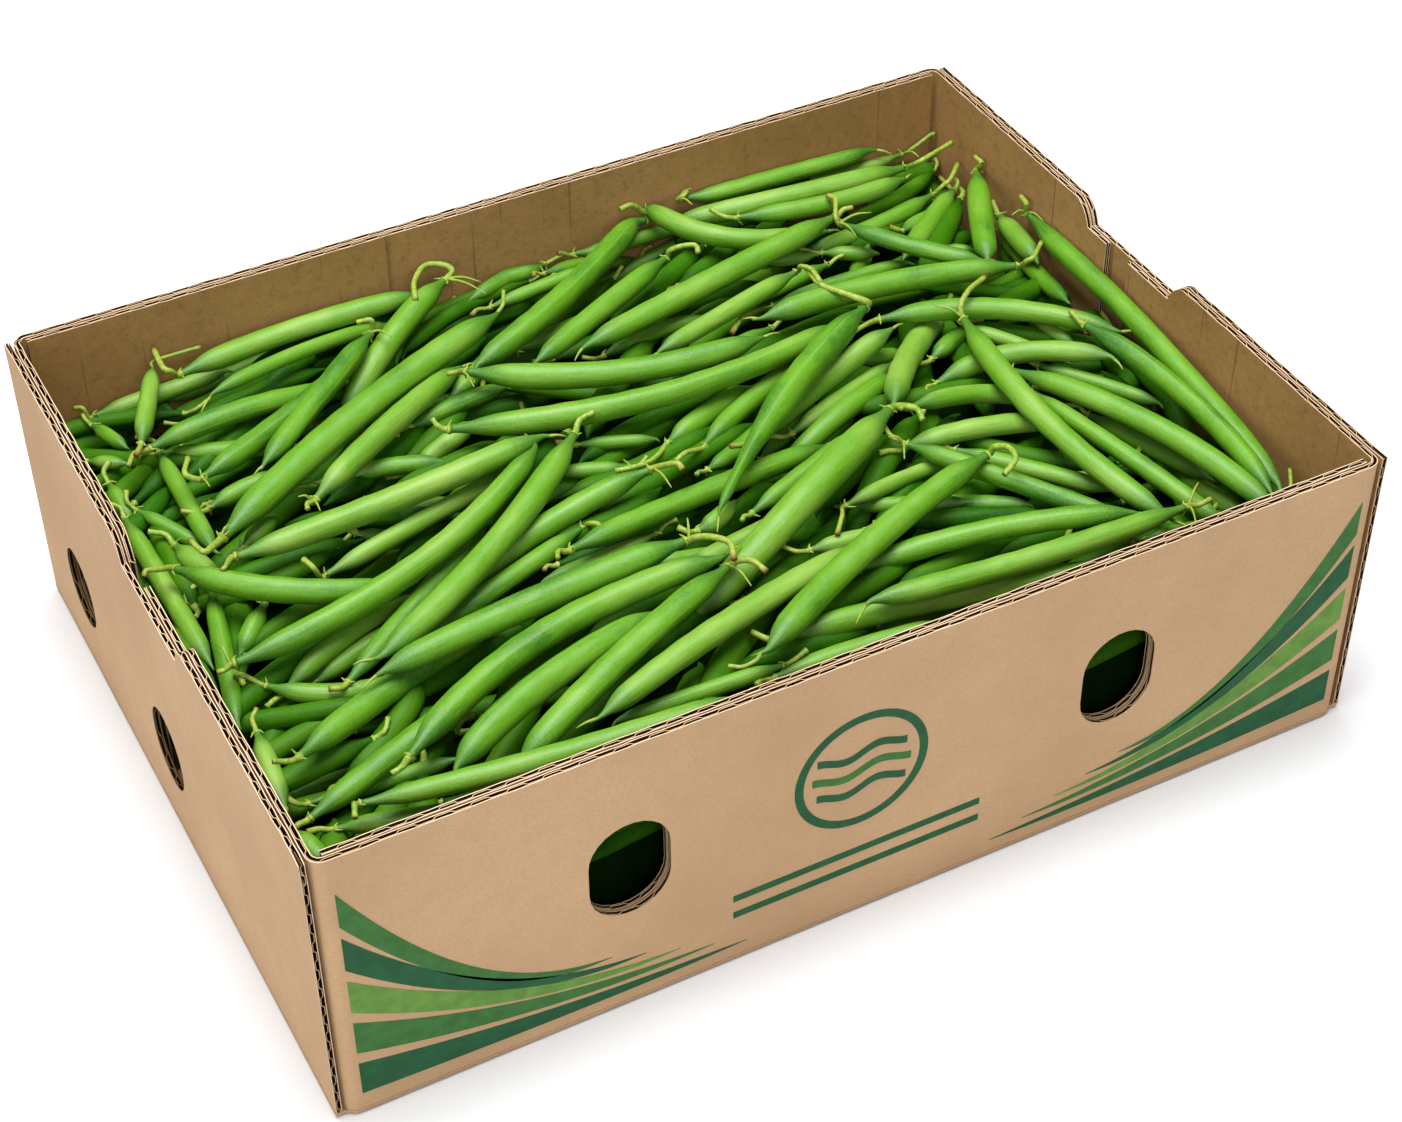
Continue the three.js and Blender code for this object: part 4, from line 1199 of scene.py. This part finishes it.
PALE_GREEN = (0.215, 0.352, 0.05, 1)
MID_GREEN = (0.084, 0.248, 0.002, 1)
DEEP_GREEN = (0.015, 0.116, 0.0005, 1)
NECK_GREEN = (0.013, 0.100, 0.005, 1)
SEAM_GREEN = (0.17, 0.33, 0.03, 1)
RIB_GREEN = (0.22, 0.40, 0.03, 1)
STALK_DARK = (0.12, 0.25, 0.02, 1)
STALK_PALE = (0.30, 0.38, 0.055, 1)
STALK_YELLOW = (0.30, 0.30, 0.04, 1)
STALK_BROWN = (0.20, 0.11, 0.03, 1)
# Painted deep shade: the core's colours, nearly black
CORE_DARK = (0.001, 0.004, 0.0005, 1)
CORE_LIGHT = (0.004, 0.014, 0.002, 1)
# Painted shade: how much of each colour is left in the skin of beans that lie deep, and of those behind the
# air holes
DEEP_PAINTED_SHADE_SHARE = (0.30, 0.48, 0.10, 1)
HOLE_PAINTED_SHADE_SHARE = (0.12, 0.22, 0.06, 1)
# Scales of the skin's patches, streaks and fine cross lines, per mm along and across a pod
PATCHES = (0.035, 0.10, 0.10)
STREAKS = (0.16, 1.1, 1.1)
CROSS_LINES = (2.8, 0.7, 0.7)
SKIN_SPECULAR = 0.55
SKIN_SCATTER = {"Weight": 0.10, "Radius": (0.5, 1.0, 0.15), "Scale": 0.0015}


def bean_skin(name="bean_skin", left=(1, 1, 1, 1)):
    """The pods' skin; left is the share of each colour that is left in it, below 1 where the skin carries
    painted shade.
    """
    material, tree, shader = new_material(name)
    grain = painted(tree, "grain")
    growth = painted(tree, "growth")
    along, round_it, tint = add(tree, "ShaderNodeSeparateXYZ", {0: growth}).outputs
    patches = stretched_noise(tree, grain, PATCHES, 3.0, 0.55)
    streaks = stretched_noise(tree, grain, STREAKS, 4.0, 0.6)
    fine = stretched_noise(tree, grain, CROSS_LINES, 2.0, 0.6)
    tone = plus(tree, times(tree, patches, 1.1), plus(tree, times(tree, tint, 0.38), 0.07))
    tone = plus(tree, tone, times(tree, streaks, 0.35))
    colour = blend(tree, step_between(tree, tone, 0.55, 0.95), DEEP_GREEN, MID_GREEN)
    colour = blend(tree, step_between(tree, tone, 0.88, 1.45), colour, PALE_GREEN)
    seam = step_between(tree, math_node(tree, "ABSOLUTE", round_it), 0.972, 0.998)
    colour = blend(tree, times(tree, seam, 0.35), colour, SEAM_GREEN)
    neck = step_between(tree, plus(tree, along, times(tree, patches, 0.08)), 0.20, 0.07)
    tip = step_between(tree, along, 0.84, 0.98)
    colour = blend(tree, times(tree, math_node(tree, "MAXIMUM", neck, tip), 0.72), colour, NECK_GREEN)
    colour = blend(tree, times(tree, step_between(tree, fine, 0.42, 0.68), 0.2), colour, RIB_GREEN)
    # Painted shade: for the deep beans and those behind the holes, the colours and, below, the gloss are cut
    # by their share
    colour = blend(tree, 1.0, colour, left, "MULTIPLY")
    height = plus(tree, times(tree, fine, 0.8), streaks)
    roughness = plus(tree, times(tree, streaks, 0.14), 0.44)
    finish_shader(tree, shader, colour, roughness, SKIN_SPECULAR * left[1] ** 2, height, 0.00025, 0.4)
    for key, value in SKIN_SCATTER.items():
        shader.inputs[f"Subsurface {key}"].default_value = value
    return material


def stalk_green():
    """Stalks, calyxes and beaks: yellower by tint, and some are brown at the end."""
    material, tree, shader = new_material("stalk_green")
    grain = painted(tree, "grain")
    growth = painted(tree, "growth")
    along, _, tint = add(tree, "ShaderNodeSeparateXYZ", {0: growth}).outputs
    mottle = noise(tree, grain, 0.9)
    colour = blend(tree, step_between(tree, mottle, 0.3, 0.7), STALK_DARK, STALK_PALE)
    colour = blend(tree, times(tree, tint, 0.35), colour, STALK_YELLOW)
    brown = times(tree, step_between(tree, along, 0.90, 1.0), step_between(tree, tint, 0.35, 0.7))
    colour = blend(tree, brown, colour, STALK_BROWN)
    finish_shader(tree, shader, colour, 0.5, 0.35, mottle, 0.0002, 0.4)
    return material


def deep_shade():
    """The core under the beans: painted deep shade, nearly black."""
    material, tree, shader = new_material("deep_shade")
    mottle = noise(tree, object_place(tree), 120)
    finish_shader(tree, shader, blend(tree, mottle, CORE_DARK, CORE_LIGHT), 0.9, 0.0, mottle)
    return material


# Each paper, in the order of the board's material slots: tint, shade, and how creased and grimy it is
PAPERS = {
    "kraft_outer": ((0.575, 0.378, 0.21, 1), (0.485, 0.305, 0.165, 1), 0),
    # The inside paper: a darker, warmer paper, made darker still as painted shade of the carton's inside
    "kraft_inner_with_painted_shade": ((0.42, 0.235, 0.085, 1), (0.33, 0.175, 0.058, 1), 0.5),
    "kraft_edge": ((0.72, 0.54, 0.36, 1), (0.60, 0.42, 0.26, 1), 0),
    # Painted shade: the waves and the papers' faces in the flutes are nearly black, as the shade there
    "kraft_waves_painted_shade": ((0.050, 0.024, 0.010, 1), (0.020, 0.009, 0.004, 1), 0),
    "kraft_wave_edge": ((0.60, 0.42, 0.25, 1), (0.42, 0.27, 0.14, 1), 0),
    # Painted shade: the end walls' hole edges are dark as the shade inside the holes
    "kraft_hole_edge_painted_shade": ((0.26, 0.15, 0.065, 1), (0.14, 0.075, 0.03, 1), 0),
}
FIBRES = (900, 900, 2600)
CURLS = (420, 420, 420)
CREASES = (380, 380, 13)


def kraft(name, tint, shade, grime):
    """Kraft paper: soft clouds, mottle, fibres and specks, with curls and creases where grime is more."""
    material, tree, shader = new_material(name)
    place = object_place(tree)
    clouds = noise(tree, place, 14, 4.0, 0.6)
    mottle = noise(tree, place, 160, 4.0, 0.65)
    fibres = stretched_noise(tree, place, FIBRES, 3.0, 0.7)
    specks = noise(tree, place, 1500, 1.0)
    colour = blend(tree, step_between(tree, clouds, 0.3, 0.72), shade, tint)
    colour = blend(tree, times(tree, step_between(tree, mottle, 0.4, 0.75), 0.35), colour, shade)
    colour = blend(tree, times(tree, step_between(tree, fibres, 0.35, 0.75), 0.4), colour, toned(shade, 0.72))
    colour = blend(tree, times(tree, step_between(tree, specks, 0.72, 0.8), 0.5), colour, toned(shade, 0.45))
    if grime:
        curls = stretched_noise(tree, place, CURLS, 4.0, 0.7)
        dark = times(tree, step_between(tree, curls, 0.5, 0.72), grime)
        colour = blend(tree, dark, colour, toned(shade, 0.55))
        pale = times(tree, step_between(tree, curls, 0.46, 0.3), 0.4 * grime)
        colour = blend(tree, pale, colour, toned(tint, 1.3))
        lines = stretched_noise(tree, place, CREASES, 1.0, 0.5)
        crease = times(tree, step_between(tree, lines, 0.68, 0.76), grime)
        colour = blend(tree, crease, colour, toned(shade, 0.4))
    height = plus(tree, times(tree, mottle, 0.6), times(tree, fibres, 0.5))
    finish_shader(tree, shader, colour, 0.82, 0.2, height, 0.0002, 0.35)
    return material


INK = {"dark": (0.010, 0.098, 0.032, 1), "mid": (0.042, 0.165, 0.032, 1), "light": (0.13, 0.29, 0.045, 1)}


def ink(name, colour):
    """Flat printing ink that lets a little of the paper through."""
    material, tree, shader = new_material(name)
    place = object_place(tree)
    mottle = noise(tree, place, 220, 3.0, 0.6)
    fibres = stretched_noise(tree, place, FIBRES, 3.0, 0.7)
    mixed = blend(tree, step_between(tree, mottle, 0.3, 0.7), colour, toned(colour, 0.75))
    thin = times(tree, step_between(tree, fibres, 0.62, 0.8), 0.22)
    mixed = blend(tree, thin, mixed, PAPERS["kraft_outer"][1])
    finish_shader(tree, shader, mixed, 0.7, 0.25, fibres, 0.0001, 0.3)
    return material


# Print on the front wall: a generic design of field rows, a wave badge and a plain double line

PRINT_FACE = 0.03
PRINT_BACK = 0.2
BADGE = {"x": -6, "z": 52, "outer": 19, "inner": 16.6}
BADGE_WAVES = {"drops": (-6, 0, 6), "clear": 2.5, "swing": 1.3, "turns": 4.5, "half": 1.2}
RULES = {"from": -42, "to": 30, "z": (16, 22), "thick": 2.2}
ROWS = {"left": (-143, -38), "right": (143, 34)}
ROW_STARTS = (13, 28, 43, 58, 73)
ROW_ENDS = (6, 9.5, 13, 16.5, 20)
ROW_THICK = 9.5
ROW_SHORTER = 0.09
ROW_THIN = 1.6
ROW_FALL, ROW_TAPER, ROW_END = 2.1, 1.9, 8
CIRCLE_STEPS = 72
PRINT_STEPS = 30


def print_band(points, faces, low, high, closed=False):
    """A closed flat band of ink between two lines of (x, z)."""
    base, count = len(points), len(low)
    for off in (PRINT_FACE, PRINT_BACK):
        for x, z in low + high:
            points.append((x, -DEPTH / 2 + off, z))

    def at(back, upper, index):
        return base + (2 * back + upper) * count + index % count

    for index in range(count if closed else count - 1):
        n = index + 1
        faces.append((at(0, 0, index), at(0, 0, n), at(0, 1, n), at(0, 1, index)))
        faces.append((at(1, 0, index), at(1, 1, index), at(1, 1, n), at(1, 0, n)))
        faces.append((at(0, 1, index), at(0, 1, n), at(1, 1, n), at(1, 1, index)))
        faces.append((at(0, 0, index), at(1, 0, index), at(1, 0, n), at(0, 0, n)))
    if not closed:
        faces.append((at(0, 0, 0), at(0, 1, 0), at(1, 1, 0), at(1, 0, 0)))
        faces.append((at(0, 0, count - 1), at(1, 0, count - 1), at(1, 1, count - 1), at(0, 1, count - 1)))


def row_lines(start_x, end_x, start_z, end_z):
    """One field row, which falls and narrows from the carton's corner."""
    low, high = [], []
    for u in np.linspace(0, 1, PRINT_STEPS):
        x = start_x + (end_x - start_x) * u
        z = end_z + (start_z - end_z) * (1 - u) ** ROW_FALL
        half = (ROW_THICK * (1 - u) ** ROW_TAPER + ROW_THIN * (1 - u ** ROW_END)) / 2
        low.append((x, z - half))
        high.append((x, z + half))
    if start_x > end_x:
        return low[::-1], high[::-1]
    return low, high


def circle(radius, turn=0.0):
    return [(BADGE["x"] + radius * math.cos(a), BADGE["z"] + radius * math.sin(a))
            for a in np.linspace(turn, turn + TAU, CIRCLE_STEPS, endpoint=False)]


def build_print():
    """The front wall's print, one piece for each ink."""
    inks = {key: ink(f"ink_{key}", colour) for key, colour in INK.items()}
    gathered = {key: ([], []) for key in INK}
    for start_x, end_x in ROWS.values():
        for index, (start_z, end_z) in enumerate(zip(ROW_STARTS, ROW_ENDS)):
            key = ("dark", "mid", "light")[index % 3]
            reach = start_x + (end_x - start_x) * (1 - ROW_SHORTER * index)
            print_band(*gathered[key], *row_lines(start_x, reach, start_z, end_z))
    print_band(*gathered["dark"], circle(BADGE["inner"])[::-1], circle(BADGE["outer"])[::-1], closed=True)
    for index, drop in enumerate(BADGE_WAVES["drops"]):
        half = math.sqrt((BADGE["inner"] - BADGE_WAVES["clear"]) ** 2 - drop ** 2)
        x = np.linspace(-half, half, PRINT_STEPS)
        z = BADGE["z"] + drop + BADGE_WAVES["swing"] * np.sin(x / half * BADGE_WAVES["turns"])
        low, high = ([(BADGE["x"] + a, b + off) for a, b in zip(x, z)]
                     for off in (-BADGE_WAVES["half"], BADGE_WAVES["half"]))
        print_band(*gathered[("dark", "mid", "dark")[index]], low, high)
    for z in RULES["z"]:
        line = [(RULES["from"], z), (RULES["to"], z)]
        print_band(*gathered["dark"], line, [(x, z + RULES["thick"]) for x, _ in line])
    for key, (points, faces) in gathered.items():
        ride(make_object(f"print_{key}", points, faces, materials=(inks[key],), smooth=False), "kraft_board")


# Camera, floor and light

CAMERA = {"azimuth": -27.465, "elevation": 41.438, "roll": -0.532, "place": (-259.73, -513.0, 540.03),
          "focal": 2754.38, "picture_width": 1402, "sensor": 36.0}
FLOOR_REACH, FLOOR_Z = 4000, -0.1
FLOOR_TINTS = (0.66, 0.66, 0.67, 1), (0.68, 0.68, 0.69, 1)
WORLD_LIGHT = 0.07
LIGHT_AIM = Vector((0, 0, 0.05))
# Disk lights: place and width in metres, and power
LIGHTS = {"key": ((-0.05, 0.05, 1.5), 1.15, 44), "front": ((-0.35, -1.5, 1.1), 1.2, 12),
          "left": ((-1.6, -0.3, 0.9), 1.0, 10.5)}


def build_camera():
    azimuth, elevation, roll = (math.radians(CAMERA[key]) for key in ("azimuth", "elevation", "roll"))
    back = Vector((math.sin(azimuth) * math.cos(elevation), -math.cos(azimuth) * math.cos(elevation),
                   math.sin(elevation)))
    right = Vector((math.cos(azimuth), math.sin(azimuth), 0))
    up = back.cross(right)
    turned_right = math.cos(roll) * right + math.sin(roll) * up
    turned_up = -math.sin(roll) * right + math.cos(roll) * up
    data = bpy.data.cameras.new("camera")
    data.sensor_width = CAMERA["sensor"]
    data.lens = CAMERA["focal"] * CAMERA["sensor"] / CAMERA["picture_width"]
    data.clip_start = 0.01
    camera = bpy.data.objects.new("camera", data)
    matrix = Matrix((turned_right, turned_up, back)).transposed().to_4x4()
    matrix.translation = Vector(CAMERA["place"]) * MM
    camera.matrix_world = matrix
    bpy.context.scene.collection.objects.link(camera)
    bpy.context.scene.camera = camera


def disk_light(name, place, size, power):
    data = bpy.data.lights.new(name, "AREA")
    data.shape = "DISK"
    data.size = size
    data.energy = power
    light = bpy.data.objects.new(name, data)
    light.location = place
    light.rotation_euler = (LIGHT_AIM - Vector(place)).to_track_quat("-Z", "Y").to_euler()
    bpy.context.scene.collection.objects.link(light)


def build_stage():
    """The floor, the light and the plain world."""
    material, tree, shader = new_material("floor_white")
    cloud = noise(tree, object_place(tree), 3.0)
    finish_shader(tree, shader, blend(tree, cloud, *FLOOR_TINTS), 0.9, 0.0)
    corners = [(x * FLOOR_REACH, y * FLOOR_REACH, FLOOR_Z) for x, y in ((-1, -1), (1, -1), (1, 1), (-1, 1))]
    make_object("floor", corners, [(0, 1, 2, 3)], materials=(material,), smooth=False)
    world = bpy.data.worlds.new("studio")
    world.use_nodes = True
    background = world.node_tree.nodes["Background"]
    background.inputs[0].default_value = (1, 1, 1, 1)
    background.inputs[1].default_value = WORLD_LIGHT
    bpy.context.scene.world = world
    bpy.context.scene.view_settings.view_transform = "Standard"
    for name, (place, size, power) in LIGHTS.items():
        disk_light(name, place, size, power)


def main():
    build_camera()
    build_stage()
    papers = tuple(kraft(name, *looks) for name, looks in PAPERS.items())
    ride(build_tray(papers), "kraft_board", "tray_blank")
    bottom = Board()
    add_bottom(bottom)
    ride(bottom.make("bottom_board", papers), "kraft_board")
    for name, node, side in (("front_liner", "liner_front", -1), ("back_liner", "liner_back", 1)):
        ride(build_liner(name, side, papers), "kraft_board", node)
    skin, stalk = bean_skin(), stalk_green()
    build_top_beans(skin, stalk)
    # The dim and deep skins are the same skin with painted shade
    build_bed(skin, stalk, deep_shade(), bean_skin("bean_skin_hole_painted_shade", HOLE_PAINTED_SHADE_SHARE),
              bean_skin("bean_skin_deep_painted_shade", DEEP_PAINTED_SHADE_SHARE))
    build_print()


main()
